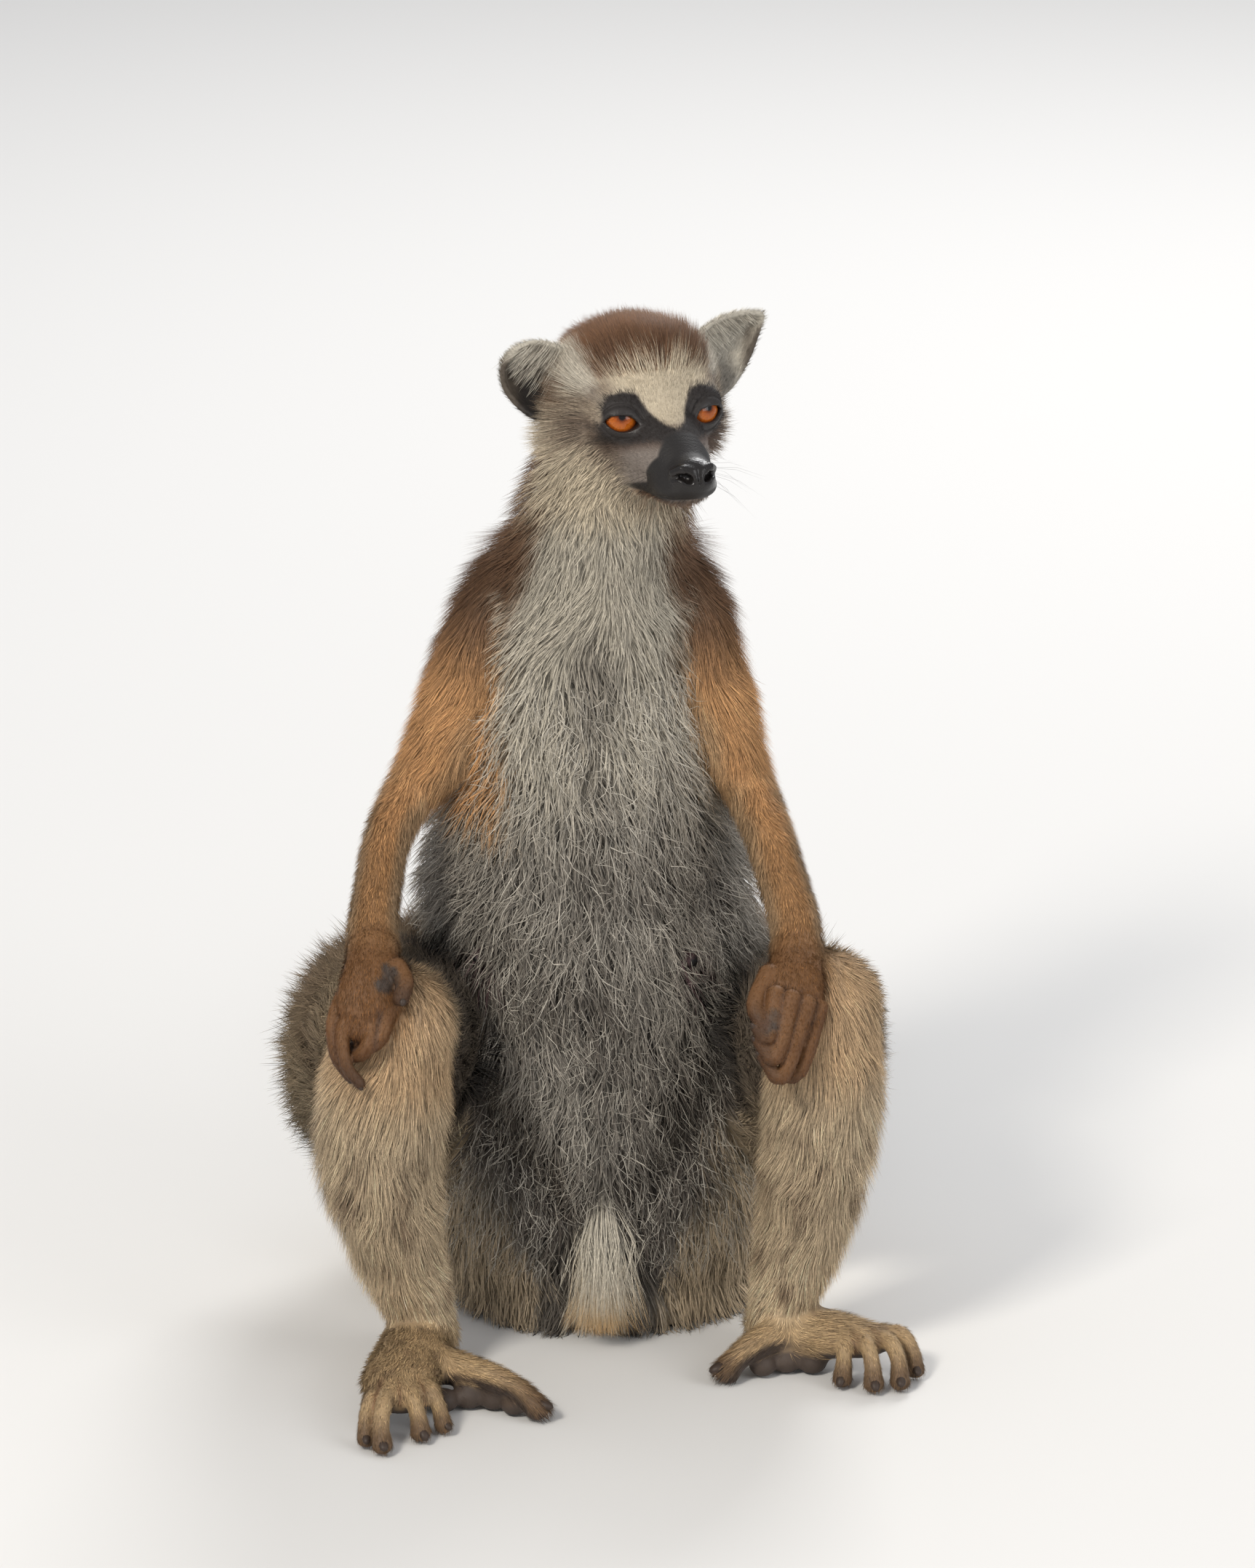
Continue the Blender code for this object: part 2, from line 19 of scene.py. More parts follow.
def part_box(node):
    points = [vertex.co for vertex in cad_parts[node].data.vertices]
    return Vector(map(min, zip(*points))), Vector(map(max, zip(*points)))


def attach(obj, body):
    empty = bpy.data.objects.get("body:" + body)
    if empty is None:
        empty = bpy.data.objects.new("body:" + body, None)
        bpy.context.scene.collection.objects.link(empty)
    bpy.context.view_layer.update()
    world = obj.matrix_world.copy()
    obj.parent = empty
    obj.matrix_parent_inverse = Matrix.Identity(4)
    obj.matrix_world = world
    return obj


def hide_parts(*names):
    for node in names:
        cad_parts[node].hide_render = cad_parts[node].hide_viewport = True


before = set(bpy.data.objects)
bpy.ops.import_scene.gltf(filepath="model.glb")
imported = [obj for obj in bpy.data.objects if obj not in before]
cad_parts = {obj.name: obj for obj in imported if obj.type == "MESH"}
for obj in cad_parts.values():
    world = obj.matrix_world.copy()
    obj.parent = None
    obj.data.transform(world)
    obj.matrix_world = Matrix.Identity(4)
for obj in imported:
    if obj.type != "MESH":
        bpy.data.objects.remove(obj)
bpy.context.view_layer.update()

MM = 0.001
SEED = 7
VOXEL = 1.6             # spacing of the grid on which the skin is found
REACH = 14.0            # distance up to which a chain is measured
FLOOR_SKIN = 0.3        # lowest the skin comes
FLOOR_FILLET = 1.2
random = np.random.default_rng(SEED)

# ---------------- tables

TRUNK = [
    (0, 10, 10, 57, 50, 6),
    (-1, 15, 35, 66, 58, 7),
    (-2, 18, 70, 67, 60, 7.5),
    (-4, 21, 110, 64, 59, 8),
    (-6, 21, 150, 59, 56, 8),
    (-6, 17, 190, 50, 50, 7.5),
    (-6, 12, 222, 43, 44, 7),
    (-4, 7, 250, 37, 37, 7),
    (-2, 3, 272, 32, 31, 6.5),
    (2, 2, 292, 29, 29, 5.5),
    (6, 2, 308, 27, 28, 5),
]
ARM = {
    "right": [
        (-24, 16, 266, 14, 15, 4.2), (-35, 10, 248, 19.5, 19, 5), (-43, 4, 226, 20, 19, 5),
        (-54, 0, 204, 16.5, 17, 4.5), (-65, -6, 190, 11.5, 12.5, 3.2), (-73, -26, 180, 9.8, 11, 2.6),
        (-76, -48, 169, 9.6, 10.5, 2.3), (-77.5, -67, 161, 9.8, 10, 2), (-77, -79, 156.5, 9.5, 8.5, 1.3),
    ],
    "left": [
        (20, 18, 266, 13, 15, 4.2), (28, 12, 248, 18.5, 18, 5), (35.5, 6, 224, 17.5, 18, 5),
        (43, 1, 204, 14.5, 16, 4.3), (50, -6, 190, 11, 12.5, 3.2), (56, -26, 181, 10, 11, 2.6),
        (61, -45, 169, 10, 10.5, 2.3), (65, -61, 159, 10, 10, 2), (65, -72, 153, 9.5, 8.5, 1.3),
    ],
}
THIGH = {
    "right": [(-46, 56, 52, 35, 42, 7.5), (-63, 30, 77, 49, 54, 9), (-70, -8, 96, 43, 45, 8.5),
              (-72, -44, 114, 31, 32, 6), (-69, -78, 131, 21, 21, 3.6)],
    "left": [(38, 58, 50, 34, 41, 7.5), (53, 34, 74, 44, 52, 9), (63, -4, 93, 35, 42, 8),
             (70, -40, 115, 26, 29, 6), (75, -68, 134, 20, 20, 3.6)],
}
SHANK = {
    "right": [(-69, -82, 132, 21, 21, 3.8), (-73, -81, 110, 24.5, 25, 5), (-75.5, -78, 86, 24.5, 26, 6),
              (-73, -74, 62, 20.5, 22, 5.5), (-69, -70, 42, 17, 18, 4.2), (-63, -67, 24, 13.5, 14.5, 2.7),
              (-62, -66, 14, 13, 13.5, 2.4)],
    "left": [(75, -72, 135, 20, 20, 3.8), (75, -70, 112, 22.5, 23, 5), (73.5, -67, 86, 22.5, 24, 6),
             (70.5, -63, 64, 20.5, 22, 5.5), (66.5, -59, 42, 17, 18, 4.2), (62, -56, 24, 13.5, 14.5, 2.7),
             (61, -56, 14, 13, 13.5, 2.4)],
}
SOLE_CUT = 1.8
FOOT = {
    "right": {
        "heel": [(-61, -52, 10, 9, 8.5), (-62, -67, 14, 13, 13), (-65, -88, 14, 14.5, 12),
                 (-68, -108, 14, 15, 10), (-68, -121, 13.5, 13, 7.5)],
        "toe_5": [(-75, -117, 13, 5, 5), (-77.5, -126, 14.5, 3.9, 4.2), (-79, -132, 10.5, 3.6, 3.8),
                  (-79, -136, 5, 4.2, 4)],
        "toe_4": [(-71.5, -118, 14, 5, 5), (-73, -131, 15.5, 3.9, 4.2), (-74, -138, 11, 3.7, 3.8),
                  (-73.5, -142, 5.2, 4.4, 4.2)],
        "toe_3": [(-65, -118, 14, 5, 5), (-64, -125, 15, 3.9, 4.2), (-62, -129, 10.5, 3.7, 3.8),
                  (-61, -131, 5.2, 4.5, 4.2)],
        "toe_2": [(-60, -114, 14, 5, 5), (-57.5, -119, 15, 3.8, 4), (-55, -122, 10, 3.5, 3.6),
                  (-53.5, -124, 5, 4, 4)],
        "hallux": [(-60, -86, 13, 9, 8), (-48, -95, 13, 7.4, 7.5), (-38, -102, 13, 6.2, 6.5),
                   (-28.5, -108, 11, 5.4, 5.5), (-22, -112, 6, 6, 5.4)],
    },
    "left": {
        "heel": [(56, -44, 10, 8, 8), (61.5, -55, 14, 13, 13), (71, -63, 14, 13, 11), (82, -68, 14, 12.5, 9),
                 (91, -71, 14, 10.5, 7.5)],
        "toe_5": [(96, -66, 13.5, 5, 5), (102, -69, 15, 3.9, 4.2), (105.5, -72, 10.5, 3.6, 3.8),
                  (106.5, -75, 5, 4.3, 4)],
        "toe_4": [(94, -71, 14, 5, 5), (98, -77, 15.5, 3.9, 4.2), (100.5, -82, 11, 3.7, 3.8),
                  (101, -86, 5.2, 4.5, 4.2)],
        "toe_3": [(88, -73, 14, 5, 5), (90, -80, 15.5, 3.9, 4.2), (91.5, -85, 11, 3.7, 3.8),
                  (92, -88, 5.2, 4.5, 4.2)],
        "toe_2": [(82, -72, 14, 5, 5), (82, -78, 14.5, 3.9, 4), (82, -81, 10.5, 3.6, 3.6),
                  (81.5, -83, 5, 4.4, 4)],
        "hallux": [(64, -62, 14, 9, 8), (57, -69, 14.5, 7.2, 7.5), (51, -74, 13, 6.4, 6.5),
                   (45.5, -77, 9.5, 5.8, 5.8), (42, -79, 6, 6.4, 5.4)],
    },
}
HAND = {
    "right": {
        "palm": [(-77, -79, 157.5, 9.5, 8.5), (-77, -91, 152, 11.5, 7.5), (-78, -98, 144, 12.5, 6.5),
                 (-78.5, -102, 136, 9, 5.5)],
        "thumb": [(-69, -91, 154, 5, 5), (-66, -98, 152, 4, 4), (-67, -103, 148, 3.6, 3.6)],
        "digit_2": [(-72, -99, 142, 4, 4), (-74, -105, 135, 3.6, 3.6), (-78, -104, 131, 3.2, 3.2),
                    (-82, -100, 131, 2.8, 2.8)],
        "digit_3": [(-76, -101, 140, 4, 4), (-78, -106.5, 132.5, 3.6, 3.6), (-82, -104, 128, 3.2, 3.2),
                    (-86, -99, 129, 2.8, 2.8)],
        "digit_4": [(-83, -99, 142, 4, 4), (-86.5, -103, 136, 3.4, 3.4), (-85.5, -107, 126, 3, 3),
                    (-81, -107, 119.5, 2.8, 2.8)],
        "digit_5": [(-87, -94, 145, 3.6, 3.6), (-90, -99, 138, 3.2, 3.2), (-89, -103, 128, 3, 3),
                    (-84.5, -104, 120.5, 2.6, 2.6)],
    },
    "left": {
        "palm": [(65, -72, 154, 9.5, 8.5), (64.5, -84, 150, 11, 7.5), (64, -91, 145, 11.5, 6.5),
                 (65, -95, 138, 9, 5.5)],
        "thumb": [(56, -86, 150, 5, 5), (51, -96, 143.5, 4, 4), (53, -102, 138.5, 3.6, 3.6)],
        "digit_2": [(58, -96, 147, 4.2, 4), (55, -104, 134.5, 3.5, 3.5), (51.5, -104, 138, 3, 3)],
        "digit_3": [(63, -97, 146, 4.2, 4), (57.5, -105, 127.5, 3.5, 3.5), (52, -103, 133, 3, 3)],
        "digit_4": [(68, -96, 144, 4.2, 4), (60, -104, 120.5, 3.5, 3.5), (53.5, -101, 127, 3, 3)],
        "digit_5": [(72, -92, 141, 4.2, 4), (66, -99, 121, 3.4, 3.4), (59, -98, 118.5, 3, 3)],
    },
}
TAIL_RADIUS = 20.5
TAIL_HEIGHT = 19.5
TAIL_ROOT = [(0, 50, 44, 17, 17), (-10, 76, 34, 17, 17), (-24, 104, 23, 18.5, 18.5),
             (-42, 150, TAIL_HEIGHT, 20, 20)]
TAIL_BEND = (0, 262, 66)
TAIL_END = 112
TAIL_SPLAY = 0.06
TAIL_COAT = 8.5

HEAD_YAW = math.radians(22.5)
FORWARD = np.array([math.sin(HEAD_YAW), -math.cos(HEAD_YAW), 0])
LEFTWARD = np.array([math.cos(HEAD_YAW), math.sin(HEAD_YAW), 0])
UPWARD = np.array([0.0, 0.0, 1.0])
EYE_PLACE = (-5.6, 14.0, 0.0)           # of the left eye in the head: forward, left, up
EYE_RADIUS = 7.6
EYE_OUTWARD = math.radians(14)
EYE_PITCH = math.radians(17)            # how far up the iris looks
LID_THICK = 1.1
LID_HALF_WIDTH = 5.8
LID_UPPER = 2.9                         # height of the opening over the line between its corners
LID_LOWER = 2.9
LID_SLANT = math.radians(1.5)           # outer corner higher than the inner one
MUZZLE = [(-8, 0, -6.5, 17.5, 14.5), (7, 0, -11, 12.5, 11.2), (17, 0, -14.3, 9.7, 8.6),
          (24.5, 0, -15.5, 7.7, 6.4)]
JAW = [(-20, 0, -15, 17, 8.5), (2, 0, -18.8, 11.8, 7), (13.5, 0, -21.2, 8.4, 4.7), (18, 0, -21.4, 6.2, 4.1)]
# Lumps of the head as ellipsoids on both sides: centre, radii and fillet. The muzzle and jaw come between
# the two lists.
SKULL = (
    ((-27, 0, 4), (27, 27, 22), 0.1), ((-15.5, 0, 6.5), (14, 22, 18.5), 6),
    ((-25, 14.5, -9), (15, 13.5, 12), 6),
)
SNOUT = (               # eye socket, nose, lip
    ((-6.4, 13.8, 0.6), (8.5, 9.2, 9.6), 3.5), ((24.6, 0, -12.9), (5.4, 7.4, 5.0), 2.5),
    ((17.5, 5.0, -18.7), (9.0, 5.6, 4.2), 3),
)
NOSTRIL_RIM = ([(29.0, 1.9, -10.9), (27.6, 5.1, -10.2), (25.0, 7.6, -11.8)], (1.0, 1.2, 0.9))
# Cut on both sides: line, radii and fillet of the mouth, nostril, its slit, and the furrow under the nose.
GROOVES = (
    ([(2, 14, -22.2), (9, 12.6, -22.4), (16, 10.6, -22.0), (21.5, 8, -21.4), (25.2, 4.5, -20.8)],
     (0.35, 0.6, 0.6, 0.6, 0.6), 0.8),
    ([(31.5, 3.0, -14.0), (28.2, 3.6, -13.3), (26.8, 4.8, -13.0)], (1.2, 1.55, 1.0), 0.9),
    ([(28.6, 4.2, -12.8), (27.6, 6.4, -12.8), (26.0, 8.2, -14.0)], (1.1, 0.8, 0.4), 0.8),
    ([(30.4, 0, -10.4), (30.6, 0, -14.5), (28.6, 0, -17.6), (26.6, 0, -20.6)], (0.25, 0.4, 0.4, 0.35), 0.8),
)
EAR_EDGES = {           # lower and upper edge of each ear, from the head outwards
    "right": ([(-27, 27, -6), (-31, 36, -3), (-34, 43, 5), (-35, 44, 13), (-33, 40, 19)],
              [(-27, 17, 13), (-29, 24, 18.5), (-31, 30, 21), (-32, 35, 21.5), (-33, 39, 20)]),
    "left": ([(-27, 27, -5), (-32, 38, -1), (-34, 45, 7.5), (-34, 48.5, 16), (-33, 50, 22)],
             [(-27, 18, 14), (-29, 26, 20), (-31, 33, 23), (-32, 42, 24.3), (-33, 49, 23.2)]),
}
EAR_DISH = 8.0
EAR_SKIN = 1.0          # half the thickness of the ear's skin
EAR_COAT = 1.3
EAR_REACH = 8.0         # distance up to which an ear is measured


def eye_box_middle(node):
    """Middle of a CAD part's box, in millimetres."""
    low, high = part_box(node)
    return (np.array(low) + np.array(high)) / 2 / MM


# Valleys of the lap: from beside the belly down to the crotch, and between the buttocks.
LAP_VALLEYS = [[(-60, -2, 128), (-38, -29, 82), (-12, -42, 44), (-3, -44, 22)],
               [(54, -2, 128), (34, -28, 82), (8, -42, 44), (-1, -44, 22)],
               [(-2, -44, 50), (-2, -43, 24), (-2, -41, -4)]]
# With those along the floor, under the front of the buttocks.
ALL_VALLEYS = LAP_VALLEYS + [
    [(-34, -44, -4), (-22, -48, 0), (-8, -50, 2)], [(46, -40, -2), (30, -45, 2), (6, -50, 2)],
]
VALLEY_RADII = (3, 8, 9, 8)

# Markings of the face: the dark patch round an eye by side and height as seen from in front and above, with
# the tip of the blaze between the two patches.
EYE_PATCH = [(0, -5.6), (1.8, -4.2), (3.8, -2.4), (6.8, 2.4), (10.0, 9.0), (14, 10.4), (18.8, 9.4),
             (21.8, 5.6), (22.6, -1), (20.8, -5.1), (15.7, -7.0), (9.5, -7.4), (5.2, -8.2), (4.6, -12),
             (-4, -12), (-4, -5.6)]
# The bare end of the muzzle, by forward and up on its side.
BARE_END = [(13, 4), (13.5, -3.0), (15.0, -5.5), (16.2, -8.5), (13.2, -12.4), (10.8, -15.5), (10.0, -18.6),
            (2.5, -20.8), (-1.5, -21.8), (-0.5, -23.4), (6, -23.8), (16, -23.0), (24, -22), (40, -20),
            (40, 4)]
# Pads on the soles, bulging out between the great toe and the others: x, y, z and radius.
PADS = [(-53.5, -104.5, 4.4, 4.6), (-45.5, -100.5, 4.6, 5.2), (-37, -101.5, 4.4, 5.0),
        (-30, -106.5, 4.2, 4.6),
        (54.5, -72.5, 4.4, 4.6), (62.5, -68.5, 4.6, 5.2), (71.5, -69, 4.4, 5.1)]
PALM_PADS = [(-71.5, -98, 153), (56, -98, 139)]
NIPPLES = [((27.5, -15, 135), (30.5, -25.5, 134)), ((-39.5, -13, 135), (-43, -23, 134))]
BETWEEN_EYES = (eye_box_middle("eye_left") + eye_box_middle("eye_right")) / 2 - FORWARD * EYE_PLACE[0]

# ---------------- small maths


def along(stations, steps):
    """Rows through the stations, smoothed by a Catmull-Rom curve."""
    rows = np.array(stations, float)
    rows = np.vstack([2 * rows[0] - rows[1], rows, 2 * rows[-1] - rows[-2]])
    found = []
    for before, start, end, after in zip(rows, rows[1:], rows[2:], rows[3:]):
        for t in np.arange(steps) / steps:
            square = 2 * before - 5 * start + 4 * end - after
            cube = 3 * start - before - 3 * end + after
            found.append(0.5 * (2 * start + (end - before) * t + square * t ** 2 + cube * t ** 3))
    found.append(rows[-2])
    return np.array(found)


def unit(v):
    """Rows made one long."""
    return v / np.maximum(np.linalg.norm(v, axis=-1, keepdims=True), 1e-9)


def smin(a, b, k):
    """Smooth union of two distances, with a fillet of about k."""
    h = np.maximum(k - np.abs(a - b), 0) / k
    return np.minimum(a, b) - h * h * k / 4


def smax(a, b, k):
    """Smooth cut: the part of a that is also in b."""
    return -smin(-a, -b, k)


def ramp(low, high, x):
    """0 below low, 1 above high, smooth between."""
    t = np.clip((x - low) / (high - low), 0, 1)
    return t * t * (3 - 2 * t)


def bell(x, middle, width):
    """1 at the middle, falling to nothing a few widths away."""
    return np.exp(-((x - middle) / width) ** 2)


def mix(first, second, share):
    """Rows of first turned towards second, by one share for all or one for each row."""
    share = np.asarray(share)[..., None]
    return first * (1 - share) + second * share


def lattice(ix, iy, iz):
    """Repeatable random value from 0 to 1 at whole-number points."""
    h = (ix * 374761393 + iy * 668265263 + iz * 1274126177) & 0xFFFFFFFF
    h = ((h ^ (h >> 13)) * 1274126177) & 0xFFFFFFFF
    return ((h ^ (h >> 16)) & 0xFFFF) / 65535.0


def in_box(p, low, high):
    x, y, z = p[:, 0], p[:, 1], p[:, 2]
    return (x > low[0]) & (x < high[0]) & (y > low[1]) & (y < high[1]) & (z > low[2]) & (z < high[2])


def outline_distance(x, y, corners):
    """Distance to a closed outline in a plane, below 0 inside it."""
    corners = np.array(corners, float)
    best = np.full(len(x), 1e9)
    inside = np.zeros(len(x), bool)
    for (ax, ay), (bx, by) in zip(corners, np.roll(corners, -1, 0)):
        dx, dy = bx - ax, by - ay
        t = np.clip(((x - ax) * dx + (y - ay) * dy) / (dx * dx + dy * dy), 0, 1)
        best = np.minimum(best, (x - ax - t * dx) ** 2 + (y - ay - t * dy) ** 2)
        if dy:
            inside ^= ((ay > y) != (by > y)) & (x < ax + (y - ay) / dy * dx)
    return np.where(inside, -1, 1) * np.sqrt(best)


def noise(points, scale, seed=0):
    """Smooth random value from 0 to 1 that varies over about scale."""
    p = points / scale + 100.0 + seed * 17.3
    base = np.floor(p).astype(np.int64)
    f = p - base
    f = f * f * (3 - 2 * f)
    total = np.zeros(len(points))
    for dx in (0, 1):
        for dy in (0, 1):
            for dz in (0, 1):
                weight = (f[:, 0] if dx else 1 - f[:, 0]) * (f[:, 1] if dy else 1 - f[:, 1])
                weight = weight * (f[:, 2] if dz else 1 - f[:, 2])
                total += weight * lattice(base[:, 0] + dx, base[:, 1] + dy, base[:, 2] + dz)
    return total


# ---------------- chains

# Depth of the coat and fillet of the parts of feet and hands.
EXTREMITIES = {"heel": (2.2, 4), "hallux": (1.6, 4), "foot": (1.0, 2), "palm": (1.7, 2.5), "hand": (0.9, 0.7)}


class Chain:
    """A run of elliptical rings, with the distance to its skin and the way its coat lies."""

    def __init__(self, region, stations, side, blend, flow=1, steps=2, joint=0.3, digit=""):
        rows = along(stations, steps)
        self.region, self.blend, self.flow, self.digit = region, blend, flow, digit
        self.centre = rows[:, :3]
        self.coat = rows[:, 5] if rows.shape[1] > 5 else np.zeros(len(rows))
        self.wide = np.maximum(rows[:, 3] - self.coat, 1.5)
        self.deep = np.maximum(rows[:, 4] - self.coat, 1.5)
        self.tangent = unit(np.gradient(self.centre, axis=0))
        side = np.array(side, float)
        self.across = unit(side - self.tangent * (self.tangent @ side)[:, None])
        self.down = np.cross(self.tangent, self.across)
        self.round = np.full(len(rows), joint)      # roundness of a ring's own cap, 1 at the two ends
        self.round[[0, -1]] = 1.0
        self.run = np.concatenate([[0], np.cumsum(np.linalg.norm(np.diff(self.centre, axis=0), axis=1))])
        size = np.maximum(self.wide, self.deep)[:, None] + REACH
        self.low = np.minimum(self.centre - size, np.roll(self.centre - size, -1, 0))[:-1]
        self.high = np.maximum(self.centre + size, np.roll(self.centre + size, -1, 0))[:-1]
        self.lowest, self.highest = self.low.min(0), self.high.max(0)

    def segment(self, i, p):
        """Distance of each point to one stretch between two rings, and how far along it the point is."""
        a, ab = self.centre[i], self.centre[i + 1] - self.centre[i]
        t = np.clip((p - a) @ ab / (ab @ ab), 0, 1)
        q = p - a - t[:, None] * ab
        wide = self.wide[i] + (self.wide[i + 1] - self.wide[i]) * t
        deep = self.deep[i] + (self.deep[i + 1] - self.deep[i]) * t
        way = unit(ab)
        across = self.across[i] + self.across[i + 1]
        across = unit(across - way * (across @ way))
        x = q @ across / wide
        y = q @ np.cross(way, across) / deep
        z = q @ way
        z = z / (np.minimum(wide, deep) * np.where(z < 0, self.round[i], self.round[i + 1]))
        s = np.sqrt(x * x + y * y + z * z)
        size = np.linalg.norm(q, axis=1)
        inside = s < 1e-4
        d = np.where(inside, -np.minimum(wide, deep), size - size / np.where(inside, 1, s))
        return d, t

    def measure(self, p):
        """For each point: distance, and ring number with fraction."""
        d = np.full(len(p), REACH)
        at = np.zeros(len(p))
        around = np.flatnonzero(in_box(p, self.lowest, self.highest))
        q = p[around]
        for i in range(len(self.centre) - 1):
            near = np.flatnonzero(in_box(q, self.low[i], self.high[i]))
            if not len(near):
                continue
            found, t = self.segment(i, q[near])
            rows = around[near]
            better = found < d[rows]
            d[rows[better]] = found[better]
            at[rows[better]] = i + t[better]
        return d, at

    def read(self, values, at):
        """A ring value between rings."""
        i = np.minimum(at.astype(int), len(self.centre) - 2)
        t = at - i
        return values[i] + (values[i + 1] - values[i]) * (t if values.ndim == 1 else t[:, None])


def with_coat(stations, coat, drop=0.0):
    """Rings of a bare table with a coat of one depth, lowered by drop."""
    return [(x, y, z - drop, w, d, coat) for x, y, z, w, d in stations]


def tail_stations():
    """The tail's rings: the root, the run back, one bend, and the run to the tip."""
    middle_x, middle_y, radius = TAIL_BEND
    found = list(TAIL_ROOT)
    found.append((middle_x - radius + 6, 200, TAIL_HEIGHT, TAIL_RADIUS, TAIL_RADIUS))
    for turn in range(0, 181, 30):
        angle = math.radians(180 - turn)
        found.append((middle_x + radius * math.cos(angle), middle_y + radius * math.sin(angle), TAIL_HEIGHT,
                      TAIL_RADIUS, TAIL_RADIUS))
    for y in (212, 162, TAIL_END):
        x = middle_x + radius - (middle_y - y) * TAIL_SPLAY
        found.append((x, y, TAIL_HEIGHT, TAIL_RADIUS, TAIL_RADIUS))
    last = len(found) - 1
    return [(*row, TAIL_COAT if 0 < i < last else TAIL_COAT - 1) for i, row in enumerate(found)]


def make_chains():
    chains = [Chain("trunk", TRUNK, (1, 0, 0), 8, flow=-1), Chain("tail", tail_stations(), (0, 0, 1), 8)]
    for side in ("right", "left"):
        for name, table, blend in (("thigh", THIGH, 9), ("shank", SHANK, 5), ("arm", ARM, 6)):
            chains.append(Chain(f"{name}_{side}", table[side], (1, 0, 0), blend))
        for region, table, drop in (("foot", FOOT, SOLE_CUT - 0.4), ("hand", HAND, 0.0)):
            for digit, stations in table[side].items():
                coat, blend = EXTREMITIES.get(digit, EXTREMITIES[region])
                chains.append(Chain(f"{region}_{side}", with_coat(stations, coat, drop), (1, 0.15, 0), blend,
                                    steps=3, joint=0.7, digit=digit))
    return chains


CHAINS = make_chains()

# ---------------- head


def to_head(p):
    """Points in head coordinates: forward, left and up from between the eyes."""
    q = p - BETWEEN_EYES
    return np.stack([q @ FORWARD, q @ LEFTWARD, q @ UPWARD], 1)


def from_head(h):
    h = np.asarray(h, float)
    return BETWEEN_EYES + h[..., :1] * FORWARD + h[..., 1:2] * LEFTWARD + h[..., 2:] * UPWARD


def ellipsoid(h, centre, radii):
    """Distance to an ellipsoid, true enough close to it."""
    q = (h - np.array(centre)) / np.array(radii)
    far = np.linalg.norm(q, axis=1)
    slope = np.linalg.norm(q / np.array(radii), axis=1)
    return far * (far - 1) / np.maximum(slope, 1e-6)


def capsules(h, points, radii):
    """Distance to a run of round rods."""
    best = np.full(len(h), REACH)
    for a, b, ra, rb in zip(points, points[1:], radii, radii[1:]):
        a, b = np.array(a, float), np.array(b, float)
        t = np.clip((h - a) @ (b - a) / ((b - a) @ (b - a)), 0, 1)
        best = np.minimum(best, np.linalg.norm(h - a - t[:, None] * (b - a), axis=1) - ra - (rb - ra) * t)
    return best


MUZZLE_CHAIN = Chain("muzzle", MUZZLE, (0, 1, 0), 5, steps=7, joint=1.0)
JAW_CHAIN = Chain("jaw", JAW, (0, 1, 0), 3, steps=6, joint=1.0)


def eye_frame(h):
    """The point in the nearer eye's own axes: along the gaze, outward and up, from the eyeball's middle."""
    side = np.abs(h[:, 1])
    a, b = h[:, 0] - EYE_PLACE[0], side - EYE_PLACE[1]
    cos, sin = math.cos(EYE_OUTWARD), math.sin(EYE_OUTWARD)
    return a * cos + b * sin, b * cos - a * sin, h[:, 2] - EYE_PLACE[2]


def lid_gap(h):
    """How far outside the opening between the lids a point is, seen along the gaze; below 0 inside it."""
    _, out, up = eye_frame(h)
    cos, sin = math.cos(LID_SLANT), math.sin(LID_SLANT)
    u, v = out * cos + up * sin, up * cos - out * sin
    s = np.clip((u - 0.2) / LID_HALF_WIDTH, -1.6, 1.6)
    skew = np.clip(s - 0.18, -1.6, 1.6)
    upper = LID_UPPER * (1 - np.abs(skew + 0.14) ** 2.4 * 0.8 - 0.2 * s ** 2)
    lower = -LID_LOWER * (1 - np.abs(s + 0.08) ** 2.2 * 0.9 - 0.1 * s ** 2)
    return np.maximum(v - upper, lower - v) * 0.85


def head_distance(h):
    """Distance to the head's skin, from head coordinates."""
    mirrored = np.stack([h[:, 0], np.abs(h[:, 1]), h[:, 2]], 1)
    d = np.full(len(h), 1e3)
    for centre, radii, fillet in SKULL:
        d = smin(d, ellipsoid(mirrored, centre, radii), fillet)
    d = smin(d, MUZZLE_CHAIN.measure(h)[0], MUZZLE_CHAIN.blend)
    d = smin(d, JAW_CHAIN.measure(h)[0], JAW_CHAIN.blend)
    for centre, radii, fillet in SNOUT:
        d = smin(d, ellipsoid(mirrored, centre, radii), fillet)
    d = smin(d, capsules(mirrored, *NOSTRIL_RIM), 1.4)
    # Eyelids: a ball round the eye, a fold over it, and the opening cut down to the eyeball.
    gaze, out, up = eye_frame(h)
    far = np.sqrt(gaze ** 2 + out ** 2 + up ** 2)
    d = smin(d, far - EYE_RADIUS - LID_THICK, 2.2)
    gap = lid_gap(h)
    front = ramp(0, 3, gaze) * ramp(14, 9, far)
    upper_fold = 0.55 * bell(gap, 2.7, 0.55) * ramp(0, 1.5, up)
    lower_fold = 0.35 * bell(gap, 2.2, 0.5) * ramp(0, -1.5, up)
    d = d + front * (upper_fold + lower_fold)
    d = smax(d, -smax(gap, 2.6 - gaze, 0.8), 0.5)
    for line, radii, fillet in GROOVES:
        d = smax(d, -capsules(mirrored, line, radii), fillet)
    return d


